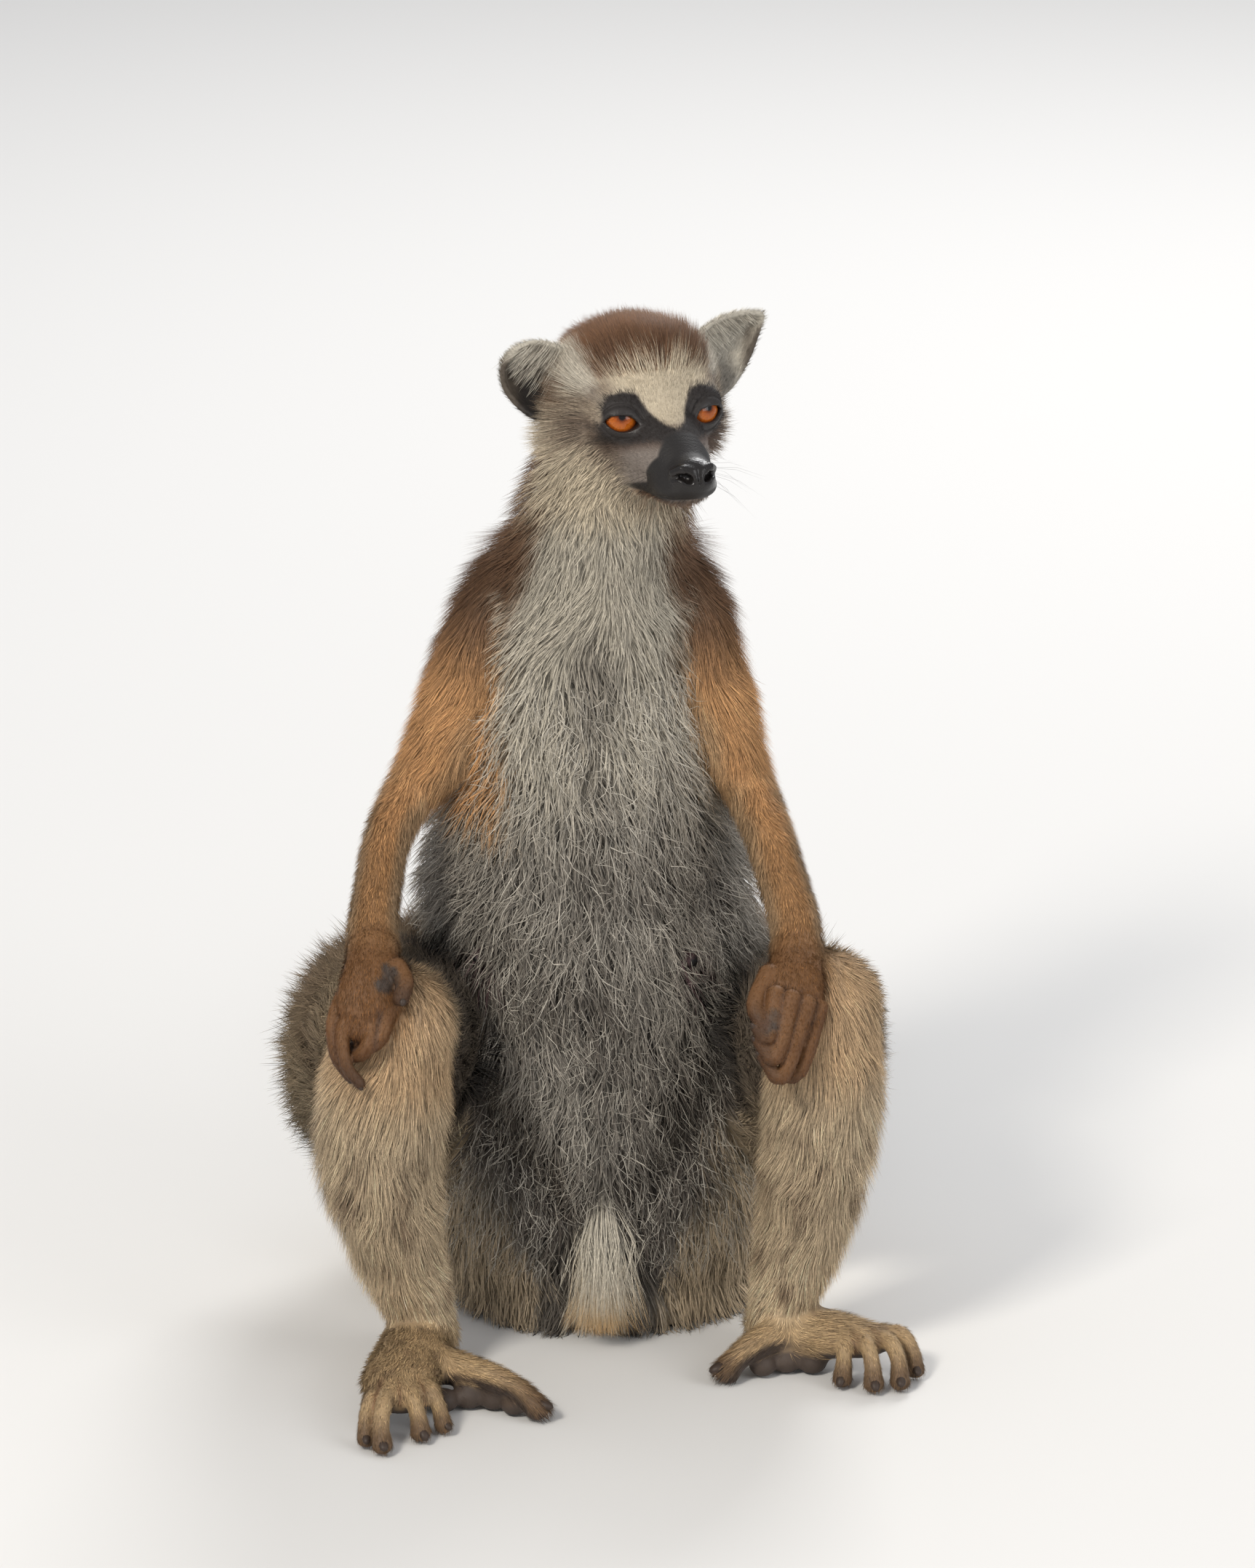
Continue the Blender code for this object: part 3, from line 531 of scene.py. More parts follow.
def ear_leaf(side, sign):
    """Points and quads of a dished ear, between its lower and upper edge."""
    lower, upper = (along(edge, 6) for edge in EAR_EDGES[side])
    across = 16
    points, faces = [], []
    for row, (low, high) in enumerate(zip(lower, upper)):
        t = row / (len(lower) - 1)
        for k in range(across + 1):
            s = 2 * k / across - 1
            forward, left, up = low + (high - low) * k / across
            dish = EAR_DISH * (1 - s * s) * math.sin(math.pi * (0.25 + 0.75 * t))
            points.append(from_head([forward - dish, sign * left, up]))
            if row and k:
                n = row * (across + 1) + k
                faces.append((n - across - 2, n - across - 1, n, n - 1))
    return np.array(points), faces


class Ear:
    """A dished sheet, with the distance to its skin; its coat lies from root to tip."""

    def __init__(self, side, sign):
        self.region, self.blend = "ear_" + side, 3.0
        self.points, faces = ear_leaf(side, sign)
        self.tree = BVHTree.FromPolygons(self.points.tolist(), faces)
        self.root = from_head([-27, sign * 22, 4])
        self.tip = from_head([-33, sign * 43, 22])
        self.low, self.high = self.points.min(0) - EAR_REACH, self.points.max(0) + EAR_REACH

    def measure(self, p):
        d = np.full(len(p), REACH)
        for i in np.flatnonzero(in_box(p, self.low, self.high)):
            found = self.tree.find_nearest(p[i], EAR_REACH)
            if found[0] is not None:
                d[i] = found[3] - EAR_SKIN
        return d


EARS = [Ear("right", -1), Ear("left", 1)]
HEAD_LOW = BETWEEN_EYES - 75
HEAD_HIGH = BETWEEN_EYES + 60


def near_head(p):
    return in_box(p, HEAD_LOW, HEAD_HIGH)


def valley_distance(p, valleys):
    """Distance to the nearest valley, each a run of round rods."""
    best = np.full(len(p), REACH)
    for points in valleys:
        best = np.minimum(best, capsules(p, points, VALLEY_RADII[:len(points)]))
    return best


def pad_distance(p):
    """Distance to the pads of the soles."""
    best = np.full(len(p), REACH)
    for x, y, z, radius in PADS:
        best = smin(best, np.linalg.norm((p - (x, y, z)) * (1, 1, 1.15), axis=1) - radius, 2.2)
    return best


def with_lap(d, p, _):
    """Cuts the valleys of the lap and adds the nipples."""
    d = smax(d, -valley_distance(p, ALL_VALLEYS), 9)
    for ends in NIPPLES:
        d = smin(d, capsules(p, ends, (3.4, 2.2)), 2)
    return d


def with_pads(d, p, _):
    return smin(d, pad_distance(p), 3)


def with_head(d, p, bulge):
    """Adds the head, and the ears thickened by bulge."""
    d = smin(d, head_distance(to_head(p)), 8.0)
    for ear in EARS:
        d = smin(d, ear.measure(p) - bulge, ear.blend)
    return d


# Boxes in which the distance is changed by more than chains, and what changes it: a function of the distance
# so far, the points, and how much thicker than real the ears are made.
DETAILS = (
    (np.array([-75.0, -65, -8]), np.array([70.0, 12, 146]), with_lap),
    (np.array([-62.0, -118, -4]), np.array([84.0, -58, 16]), with_pads),
    (HEAD_LOW, HEAD_HIGH, with_head),
)


def skin_distance(p):
    """Distance to the whole skin."""
    d = np.full(len(p), REACH)
    for chain in CHAINS:
        d = smin(d, chain.measure(p)[0], chain.blend)
    for low, high, detail in DETAILS:
        near = in_box(p, low, high)
        d[near] = detail(d[near], p[near], 0.0)
    return smax(d, FLOOR_SKIN - p[:, 2], FLOOR_FILLET)


# ---------------- skin mesh


GRID_LOW = np.array([-116.0, -150.0, -3.0])
GRID_HIGH = np.array([114.0, 356.0, 360.0])
FURRED_SHARE = 0.62     # of the triangles kept where the coat hides the skin
GRID_BULGE = 0.35       # thickens the ears for the grid; pulling the points to the skin thins them again


def box_slices(axes, low, high):
    """The part of the grid that lies in a box."""
    return tuple(slice(int(np.searchsorted(axis, a)), int(np.searchsorted(axis, b))) for axis, a, b in
                 zip(axes, low, high))


def box_points(axes, cut):
    """The points of a part of the grid, as rows."""
    parts = np.meshgrid(*(axis[s] for axis, s in zip(axes, cut)), indexing="ij")
    return np.stack(parts, -1).reshape(-1, 3)


def skin_grid():
    """The distance on a grid, each chain worked out only near itself."""
    axes = [low + VOXEL * np.arange(int(np.ceil((high - low) / VOXEL)))
            for low, high in zip(GRID_LOW, GRID_HIGH)]
    field = np.full([len(axis) for axis in axes], REACH, np.float32)
    for chain in CHAINS:
        cut = box_slices(axes, chain.lowest, chain.highest)
        own = np.full(field[cut].shape, REACH, np.float32)
        for i in range(len(chain.centre) - 1):
            part = box_slices(axes, chain.low[i], chain.high[i])
            inner = tuple(slice(p.start - c.start, p.stop - c.start) for p, c in zip(part, cut))
            found, _ = chain.segment(i, box_points(axes, part))
            own[inner] = np.minimum(own[inner], found.reshape(own[inner].shape))
        field[cut] = smin(field[cut], own, chain.blend)
    for low, high, detail in DETAILS:
        cut = box_slices(axes, low, high)
        found = detail(field[cut].reshape(-1), box_points(axes, cut), GRID_BULGE)
        field[cut] = found.reshape(field[cut].shape)
    return axes, smax(field, (FLOOR_SKIN - axes[2]).astype(np.float32), FLOOR_FILLET)


def surface(axes, field):
    """Points and polygons where the field is zero."""
    grid = openvdb.FloatGrid(REACH)
    grid.copyFromArray(np.ascontiguousarray(np.clip(field, -REACH, REACH), np.float32))
    points, triangles, quads = grid.convertToPolygons(0.0, 0.0)
    points = points.astype(float) * VOXEL + np.array([axis[0] for axis in axes])
    return points, [tuple(face) for face in triangles.tolist()] + [tuple(face) for face in quads.tolist()]


def detail_level(p):
    """How often the mesh is split: twice round eyes, nose and mouth, once on face, hands, feet and ears."""
    h = to_head(p)
    far = np.linalg.norm(np.stack(eye_frame(h)), axis=0)
    face = (h[:, 0] > -16) & (np.abs(h[:, 1]) < 30) & (h[:, 2] > -30) & (h[:, 2] < 26)
    fine = ((far < 11.5) & (h[:, 0] > -8)) | ((h[:, 0] > 6) & (h[:, 2] > -24) & face)
    level = face.astype(int) + (fine & face)
    for ear in EARS:
        level[in_box(p, ear.low + 5, ear.high - 5)] = 1
    for chain in CHAINS:
        if chain.region.startswith(("hand", "foot")):
            near = in_box(p, chain.lowest + REACH - 1, chain.highest - REACH + 1)
            level[near] = np.maximum(level[near], 1)
    return level


def read_mesh(items, name, size=3, kind=np.float32):
    """One value of every vertex, edge or face of a mesh, as rows."""
    values = np.empty(len(items) * size, kind)
    items.foreach_get(name, values)
    return values.reshape(-1, size)


def mesh_points(mesh):
    """The points of a mesh, in millimetres."""
    return read_mesh(mesh.vertices, "co").astype(float) / MM


def set_points(mesh, points):
    mesh.vertices.foreach_set("co", (points * MM).astype(np.float32).reshape(-1))
    mesh.update()


def add_object(name, mesh, material=None):
    """Puts a mesh, camera or light into the scene."""
    thing = bpy.data.objects.new(name, mesh)
    bpy.context.scene.collection.objects.link(thing)
    if material:
        mesh.materials.append(material)
    return thing


def pull_to_skin(p, rounds=3, step=0.15):
    """Moves points onto the zero level of the distance."""
    p = p.copy()
    for _ in range(rounds):
        d = skin_distance(p)
        slope = np.stack([skin_distance(p + step * axis) - d for axis in np.eye(3)], 1) / step
        move = slope * (d / np.maximum((slope ** 2).sum(1), 0.2))[:, None]
        size = np.linalg.norm(move, axis=1, keepdims=True)
        p -= move * np.minimum(1, 0.8 / np.maximum(size, 1e-9))
    return p


def make_skin():
    axes, field = skin_grid()
    points, faces = surface(axes, field)
    mesh = bpy.data.meshes.new("skin")
    mesh.from_pydata((points * MM).tolist(), [], faces)
    bm = bmesh.new()
    bm.from_mesh(mesh)
    for level in (1, 2):
        co = np.array([v.co for v in bm.verts]) / MM
        wanted = detail_level(co) >= level
        bm.verts.ensure_lookup_table()
        edges = [e for e in bm.edges if wanted[e.verts[0].index] and wanted[e.verts[1].index]]
        bmesh.ops.subdivide_edges(bm, edges=edges, cuts=1, use_grid_fill=True)
        bm.verts.index_update()
    bmesh.ops.triangulate(bm, faces=bm.faces)
    bmesh.ops.recalc_face_normals(bm, faces=bm.faces)
    bm.to_mesh(mesh)
    bm.free()
    points = mesh_points(mesh)
    fine = detail_level(points) > 0
    for _ in range(2):
        points[fine] = pull_to_skin(points[fine], rounds=2)
        points = relax(mesh, points, fine)
    points[fine] = pull_to_skin(points[fine], rounds=1)
    set_points(mesh, points)
    skin = add_object("skin", mesh)
    thin_out(skin, fine)
    skin.data.shade_smooth()
    return skin


def thin_out(skin, fine):
    """Leaves fewer triangles where the coat covers the skin."""
    group = skin.vertex_groups.new(name="furred")
    group.add([int(i) for i in np.flatnonzero(~fine)], 1.0, "REPLACE")
    thinner = skin.modifiers.new("Thin", "DECIMATE")
    thinner.ratio = FURRED_SHARE
    thinner.vertex_group = "furred"
    graph = bpy.context.evaluated_depsgraph_get()
    mesh = bpy.data.meshes.new_from_object(skin.evaluated_get(graph))
    skin.modifiers.clear()
    skin.vertex_groups.clear()
    skin.data = mesh


def relax(mesh, points, chosen):
    """Evens out the spacing of the chosen points by moving each to the middle of its neighbours."""
    a, b = read_mesh(mesh.edges, "vertices", 2, np.int32).T
    total, count = np.zeros_like(points), np.zeros(len(points))
    for one, other in ((a, b), (b, a)):
        count += np.bincount(one, minlength=len(points))
        for k in range(3):
            total[:, k] += np.bincount(one, points[other, k], len(points))
    middle = total / np.maximum(count, 1)[:, None]
    found = points.copy()
    found[chosen] = 0.5 * points[chosen] + 0.5 * middle[chosen]
    return found


# ---------------- markings

# Colours of the coat. inner and lap are painted shade on the inner thighs and in the valleys of the lap;
# hand_dark is also laid as painted shade between the digits.
PALETTE = {
    "crown": (116, 84, 60), "crown_dark": (66, 50, 40), "cream": (196, 182, 158), "patch": (40, 35, 33),
    "black": (33, 30, 29), "fuzz": (132, 122, 114), "under_eye": (76, 60, 51), "cheek": (168, 150, 128),
    "ear_white": (204, 197, 182), "ear_dark": (88, 79, 69), "rust": (106, 80, 60), "tan": (192, 145, 99),
    "ochre": (160, 120, 80), "edge": (182, 158, 128), "hand": (100, 65, 35), "hand_dark": (68, 48, 34),
    "bib": (184, 176, 160), "belly": (134, 128, 119), "back": (134, 114, 94), "haunch": (190, 170, 141),
    "shank": (194, 173, 143), "fleck": (90, 72, 58), "inner": (116, 105, 92), "foot": (176, 149, 112),
    "toe": (96, 74, 54), "tail_white": (198, 190, 174), "tail_black": (30, 27, 25), "chin": (118, 92, 74),
    "sole": (76, 64, 56), "tuft_tip": (176, 140, 92), "belly_dark": (92, 86, 79), "temple": (98, 77, 62),
    "wisp": (184, 178, 166), "nipple": (74, 56, 58), "lap": (72, 66, 60), "mane": (110, 88, 69),
}
PALETTE = {name: np.array(colour) / 255 for name, colour in PALETTE.items()}
RINGS_FROM, RINGS_TO = 60, 520      # where the tail's rings start and its black tip starts, from its root
RING_LENGTH = 38.0                  # of a pale ring and a black one
NIPPLE_BARE = (1.5, 1.5)


def paint(count, name):
    """Rows of one colour of the palette."""
    return np.tile(PALETTE[name], (count, 1))


def over(colours, name, share):
    """Lays one colour of the palette over rows of colours."""
    return mix(colours, PALETTE[name], np.clip(share, 0, 1))


def layers(colour, *marks):
    """Lays marks over a colour in turn; a mark is a name in the palette and its share at each point."""
    for name, share in marks:
        colour = over(colour, name, share)
    return colour


def patch_edge(h):
    """How far outside the dark patch round the nearer eye a point is."""
    return outline_distance(np.abs(h[:, 1]), h[:, 2] - 0.3 * h[:, 0], EYE_PATCH)


def bare_muzzle(h):
    """1 on the black bare end of the muzzle, down to the corner of the mouth."""
    return ramp(0.7, -0.7, outline_distance(h[:, 0], h[:, 2], BARE_END))


def crown_edge(h):
    """How far above the front edge of the brown crown a point is."""
    a, side, c = h[:, 0], np.abs(h[:, 1]), h[:, 2]
    border = 16.6 - 0.0105 * np.minimum(side, 26) ** 2 - 0.85 * np.maximum(-22 - a, 0)
    return c - np.maximum(border, -8)


def head_colour(h):
    a, side, c = h[:, 0], np.abs(h[:, 1]), h[:, 2]
    wobble = 2.2 * (noise(h, 5.0, 5) - 0.5)
    face = ramp(-24, -14, a)
    patch = patch_edge(h) + 0.5 * wobble
    temple = np.sqrt(((a + 22) / 6) ** 2 + ((side - 25.5) / 4.5) ** 2 + ((c - 4) / 6.5) ** 2)
    soft = 1.6 * ramp(-3, -6, c - 0.3 * a)
    return layers(
        paint(len(h), "cream"),
        ("cheek", 0.8 * ramp(-4, -12, c) * ramp(32, 24, side) * ramp(-30, -18, a)),
        ("under_eye", 0.9 * ramp(-5, -8, c + wobble) * ramp(-21, -15, c) * face * ramp(26, 19, side)),
        ("fuzz", ramp(-4, 3, a + wobble) * ramp(0, -5, c) * ramp(22, 16, side)),
        ("crown", ramp(-0.8, 1.4, crown_edge(h) + wobble)),
        ("crown_dark", 0.4 * bell(crown_edge(h), 2.5, 2.5) * ramp(-26, -10, a)),
        ("ear_white", 0.9 * ramp(18.5, 21.5, side + 0.5 * wobble) * ramp(4, 9, c) * ramp(-42, -36, a)),
        ("temple", 0.8 * ramp(1.3, 0.5, temple)),
        ("back", 0.6 * ramp(-40, -52, a)),
        ("mane", ramp(-32, -38, a - 0.25 * (c + 18)) * ramp(-3, -9, c)),
        ("under_eye", 0.7 * bell(patch, 1.2, 2.2) * ramp(2, -3, c) * face),
        ("under_eye", 0.5 * bell(patch, 2.5, 2.5) * ramp(14, 20, side) * face),
        ("patch", ramp(0.9 + soft, -0.7, patch) * ramp(-20, -16, a)),
        ("chin", ramp(-22.4, -24.4, c) * ramp(-14, -4, a)),
        ("black", bare_muzzle(h)),
    )


def ear_colour(p, normal, ear):
    """Pale outside and along the front rim, dark in the cup, darkest at the notch."""
    sign = 1 if ear.region.endswith("left") else -1
    h = to_head(p)
    inside = ramp(0.0, 0.5, normal @ (FORWARD + 0.35 * sign * LEFTWARD))
    side, up = np.abs(h[:, 1]), h[:, 2]
    front = ramp(9, 15, up - 0.32 * (side - 30))
    # The left ear is turned away, so that white fur of its front edge covers most of the cup.
    if sign > 0:
        front = np.maximum(front, ramp(45, 42, side - 0.25 * (up - 8)))
    notch = ramp(9, 3, np.hypot(side - 33, (up - 0.5) / 1.3)) * inside
    return layers(
        paint(len(p), "ear_white"),
        ("ear_dark", inside * (1 - 0.9 * front)),
        ("black", (0.9 if sign < 0 else 0.3) * notch),
    )


def trunk_colour(p, normal):
    z, front, beside = p[:, 2], -normal[:, 1], np.abs(p[:, 0] + 2)
    patchy = noise(p, 22.0, 11) - 0.5
    belly = ramp(-0.35, 0.15, front + 0.5 * patchy)
    valley = -valley_distance(p, LAP_VALLEYS)
    parting = bell(p[:, 0] + 3 + 10 * (noise(p, 14.0, 12) - 0.5), 0, 5)
    fold = ramp(-27, -35, p[:, 0] + 16 * patchy) * ramp(178, 190, z) * ramp(262, 246, z)
    fold = fold * ramp(-0.5, 0, front)
    buttock = ramp(64, 34, z - 0.6 * (beside - 30)) * ramp(15, 26, beside) * ramp(0.0, 0.4, front)
    return layers(
        paint(len(p), "back"),
        ("belly", belly),
        ("belly_dark", 0.85 * belly * ramp(-0.2, 0.3, patchy) * ramp(222, 190, z)),
        # Painted shade: darker in the valleys of the lap.
        ("lap", 0.9 * belly * ramp(-13, -2, valley) * ramp(150, 120, z)),
        ("bib", ramp(0.05, 0.45, front + 0.3 * patchy) * ramp(165, 215, z + 40 * patchy)),
        ("belly_dark", 0.6 * parting * ramp(0.3, 0.7, front) * ramp(262, 240, z)),
        ("rust", ramp(0.72, 0.45, front + 0.3 * patchy) * ramp(222, 244, z)),
        ("cream", ramp(282, 298, z) * ramp(0.1, 0.4, front)),
        ("tan", fold * (0.95 - 0.4 * ramp(225, 245, z))),
        ("bib", ramp(11, 6, beside) * ramp(54, 40, z) * ramp(0.2, 0.5, front)),
        ("haunch", 0.9 * buttock * ramp(-7, -12, valley)),
        ("haunch", 0.8 * ramp(90, 70, z) * ramp(36, 46, beside + 14 * patchy)),
        *(("nipple", ramp(6.5, 4.5, capsules(p, ends, NIPPLE_BARE))) for ends in NIPPLES),
    )


def tail_colour(run):
    """Grey at the root, then pale and black rings of one length, and a black tip."""
    ring = (run - RINGS_FROM) / RING_LENGTH % 1
    black = ramp(0.5, 0.56, ring) * ramp(1.0, 0.94, ring)
    return layers(
        paint(len(run), "back"),
        ("tail_white", ramp(RINGS_FROM - 20, RINGS_FROM, run)),
        ("tail_black", black * ramp(RINGS_FROM, RINGS_FROM + 6, run)),
        ("tail_black", ramp(RINGS_TO, RINGS_TO + 8, run)),
    )


def limb_colour(region, p, normal, fraction, sign):
    """Arms, legs, hands and feet; fraction runs from 0 at the body to 1 at the far end."""
    outward, front, upward = normal[:, 0] * sign, -normal[:, 1], normal[:, 2]
    count, z = len(p), p[:, 2]
    if region.startswith("arm"):
        return layers(
            paint(count, "tan"),
            ("rust", ramp(0.27, 0.08, fraction) * ramp(-0.2, 0.3, outward + 0.4 * upward)),
            ("ochre", ramp(0.5, 0.8, fraction)),
            ("edge", 0.7 * ramp(0.4, 1.0, np.abs(outward)) * ramp(0.4, 0.55, fraction)),
            ("edge", 0.6 * ramp(0.1, -0.5, outward) * ramp(0.6, 0.3, fraction)),
        )
    if region.startswith("thigh"):
        patchy = noise(p, 16.0, 21) - 0.5
        return layers(
            paint(count, "haunch"),
            ("back", 0.75 * ramp(70, 128, z + 40 * patchy) * ramp(0.9, 0.6, fraction)),
            # Painted shade: darker on the inner side of the thigh.
            ("inner", 0.9 * ramp(0.1, -0.4, outward + 0.4 * patchy) * ramp(1.0, 0.8, fraction)),
            ("tan", 0.35 * ramp(0.8, 1.0, fraction) * ramp(0.2, 0.7, upward)),
            # Painted light: lighter again low on the inner side of the thigh, where the light reaches it.
            ("haunch", 0.85 * ramp(92, 76, z) * ramp(0.1, -0.4, outward)),
            # Painted shade in the valleys of the lap and along the floor.
            ("lap", 0.85 * ramp(11, 3, valley_distance(p, ALL_VALLEYS))),
        )
    if region.startswith("shank"):
        flecks = ramp(0.66, 0.74, noise(p * (1.3, 1.3, 0.8), 4.2, 3)) * ramp(0.15, 0.3, fraction)
        return layers(
            paint(count, "shank") * (1 + 0.14 * ramp(0.45, 0.85, fraction))[:, None],
            ("tan", 0.4 * ramp(0.22, 0.05, fraction)),
            ("fleck", 0.65 * flecks * ramp(-0.5, 0.0, front)),
        )
    if region.startswith("hand"):
        ragged = 3.5 * (noise(p, 2.6, 33) - 0.5)
        return layers(
            paint(count, "hand"),
            ("ochre", 0.3 * ramp(-0.2, 0.7, upward + 0.6 * (noise(p, 6.0, 31) - 0.5))),
            *(("sole", ramp(4.4, 2.2, np.linalg.norm((p - place) * (1, 0.5, 0.75), axis=1) + ragged))
              for place in PALM_PADS),
        )
    return layers(
        paint(count, "foot"),
        ("fleck", 0.25 * ramp(0.6, 0.8, noise(p, 3.4, 32))),
        ("sole", ramp(-0.35, -0.75, upward)),
        ("sole", ramp(1.6, 0.3, pad_distance(p))),
    )


def region_colour(p, normal, chain, at):
    """Colour of the coat at points on a chain."""
    if chain.region == "trunk":
        return trunk_colour(p, normal)
    if chain.region == "tail":
        return tail_colour(chain.read(chain.run, at))
    fraction = at / (len(chain.centre) - 1)
    sign = 1 if chain.region.endswith("left") else -1
    colour = limb_colour(chain.region, p, normal, fraction, sign)
    if chain.digit.startswith(("toe", "hallux")):
        colour = over(colour, "toe", 0.85 * ramp(0.5, 0.95, fraction))
    if chain.digit == "hallux":
        colour = over(colour, "sole", ramp(0.35, -0.2, normal[:, 2]))
    if chain.digit.startswith(("thumb", "digit")):
        colour = over(colour, "hand_dark", 0.75 * ramp(0.35, 1.0, fraction))
    return colour


def head_flow(h):
    """The coat of the head runs back from the nose, over the cheeks outwards and down."""
    away = h - np.array([24.0, 0, -13])
    away[:, 2] = np.where(away[:, 2] > 0, away[:, 2], away[:, 2] * 0.8)
    away = unit(away) + np.array([-0.35, 0, 0])
    away[:, 2] -= 0.5 * ramp(8, -6, h[:, 2]) * ramp(14, 26, np.abs(h[:, 1]))
    away = unit(away)
    return away[:, :1] * FORWARD + away[:, 1:2] * LEFTWARD + away[:, 2:] * UPWARD


def head_coat(h):
    """Depth of the coat on the head."""
    a, side, c = h[:, 0], np.abs(h[:, 1]), h[:, 2]
    depth = np.full(len(h), 4.0)
    depth += 2.2 * ramp(20, 30, side) * ramp(6, -4, c)
    depth += 1.5 * ramp(-34, -46, a)
    depth = depth + (1.3 - depth) * ramp(-17, -8, a) * ramp(18, 12, c)
    depth = depth + (0.9 - depth) * ramp(-2, 5, a)
    depth = depth + (0.9 - depth) * ramp(1.0, -2.0, patch_edge(h)) * ramp(-18, -14, a)
    under = ramp(-19, -23, c) * ramp(-20, -8, a)
    return depth + (1.6 - depth) * under


def describe(p, normal):
    """Colour, flow and depth of the coat, the part, and the place on its unwrap, at points on the skin."""
    total = np.zeros(len(p))
    colour, flow, coat = np.zeros((len(p), 3)), np.zeros((len(p), 3)), np.zeros(len(p))
    best, part, place = np.full(len(p), 99.0), np.zeros(len(p), int), np.zeros((len(p), 2))
    nearest = np.full((len(p), 2), 99.0)        # distance to the two nearest fingers or toes

    def add(index, chosen, d, colours, flows, depths, places):
        weight = np.exp(-np.clip(d + 1.5, 0, None) / 1.6)
        total[chosen] += weight
        colour[chosen] += weight[:, None] * colours
        flow[chosen] += weight[:, None] * flows
        coat[chosen] += weight * depths
        nearer = d < best[chosen]
        hit = chosen[nearer]
        best[hit], part[hit], place[hit] = d[nearer], index, places[nearer]

    for index, chain in enumerate(CHAINS):
        d, at = chain.measure(p)
        chosen = np.flatnonzero(d < 9)
        if not len(chosen):
            continue
        q, d, at = p[chosen], d[chosen], at[chosen]
        if chain.digit not in ("", "palm", "heel"):
            nearest[chosen] = np.sort(np.concatenate([nearest[chosen], d[:, None]], 1), axis=1)[:, :2]
        out = q - chain.read(chain.centre, at)
        sideways, down = ((out * chain.read(axis, at)).sum(1) for axis in (chain.across, chain.down))
        turn = np.arctan2(down, sideways)
        add(index, chosen, d, region_colour(q, normal[chosen], chain, at),
            unit(chain.read(chain.tangent, at)) * chain.flow, chain.read(chain.coat, at),
            np.stack([turn / (2 * math.pi) + 0.5, at / len(chain.centre)], 1))
    chosen = np.flatnonzero(near_head(p))
    q = p[chosen]
    h = to_head(q)
    turn = np.arctan2(h[:, 1], h[:, 0] + 15) / (2 * math.pi)
    spin = np.stack([turn + 0.5, 0.5 + 0.5 * unit(h + (15, 0, 0))[:, 2]], 1)
    near_trunk = 1.5 * ramp(-24, -34, h[:, 2])
    add(len(CHAINS), chosen, head_distance(h) + near_trunk, head_colour(h), head_flow(h), head_coat(h), spin)
    for number, ear in enumerate(EARS):
        d = ear.measure(q)
        near = np.flatnonzero(d < EAR_REACH)
        add(len(CHAINS) + 1 + number, chosen[near], d[near] - 0.8,
            ear_colour(q[near], normal[chosen[near]], ear),
            np.tile(unit(ear.tip - ear.root), (len(near), 1)), np.full(len(near), EAR_COAT),
            (h[near][:, 1:] + (60, 30)) / 120)
    total = np.maximum(total, 1e-9)
    # Painted shade in the creases between fingers and between toes, where two lie close together.
    painted_crease_shade = ramp(1.5, 0.2, nearest[:, 1] - nearest[:, 0]) * ramp(2.4, 1.0, nearest[:, 0])
    colour = over(colour, "hand_dark", 0.7 * painted_crease_shade) / total[:, None]
    flow = flow / total[:, None]
    flow = unit(flow - normal * (flow * normal).sum(1, keepdims=True))
    coat = coat / total
    # The ruff stands out round the sides and back of the neck.
    ruff = ramp(256, 274, p[:, 2]) * ramp(318, 302, p[:, 2]) * ramp(0.95, 0.3, -normal[:, 1]) * (coat > 3)
    coat += 3.0 * ruff
    return {"colour": colour, "flow": flow, "coat": coat, "part": part, "place": place}


# ---------------- coat

PART_NAMES = [chain.region for chain in CHAINS] + ["head", EARS[0].region, EARS[1].region]
# Kind of coat: tufts per square millimetre, width, rise from the skin at root and tip in degrees, curl and
# rings.
COATS = {
    "trunk": (0.40, 0.62, 38, 8, 0.30, 2),
    "tail": (0.32, 0.8, 40, 16, 0.2, 2),
    "thigh": (0.92, 0.44, 24, 24, 0.26, 1),
    "shank": (1.9, 0.36, 23, 23, 0.22, 1),
    "arm": (2.4, 0.32, 21, 21, 0.18, 1),
    "foot": (2.7, 0.32, 20, 20, 0.25, 1),
    "hand": (3.2, 0.28, 32, 32, 0.3, 1),
    "head": (5.6, 0.22, 17, 17, 0.15, 1),
    "face": (4.4, 0.21, 22, 22, 0.12, 1),
    "ear": (2.8, 0.24, 24, 24, 0.2, 1),
    "wisp": (0.0, 0.30, 52, 4, 0.7, 4),
}
KINDS = list(COATS)
FACE_COAT = 2.2         # the coat is of the face's kind where it is thinner than this
WISPS = 6300            # pale curly hairs over the grey belly and lap
BRUSH_HAIRS = 1500
EAR_HAIRS = {"right": 500, "left": 260}
BODY_LIGHT = 0.72       # share of the body's own normal in a tuft's
PATCH = 0.003           # a tuft's width on the unwrap
CELLS = 7               # parts are laid out on the unwrap in a square of this many cells a side
TUFTS_A_PIECE = {1: 48000, 2: 19500, 4: 8800}       # by rings
RING_WIDTHS = {1: (1.0,), 2: (0.8, 0.85), 4: (0.8, 1.0, 0.9, 0.6)}


def kinds_of(here):
    """The kind of coat at each point, as a number in KINDS."""
    kinds = np.array([KINDS.index(name.split("_")[0]) for name in PART_NAMES])[here["part"]]
    kinds[(kinds == KINDS.index("head")) & (here["coat"] < FACE_COAT)] = KINDS.index("face")
    return kinds


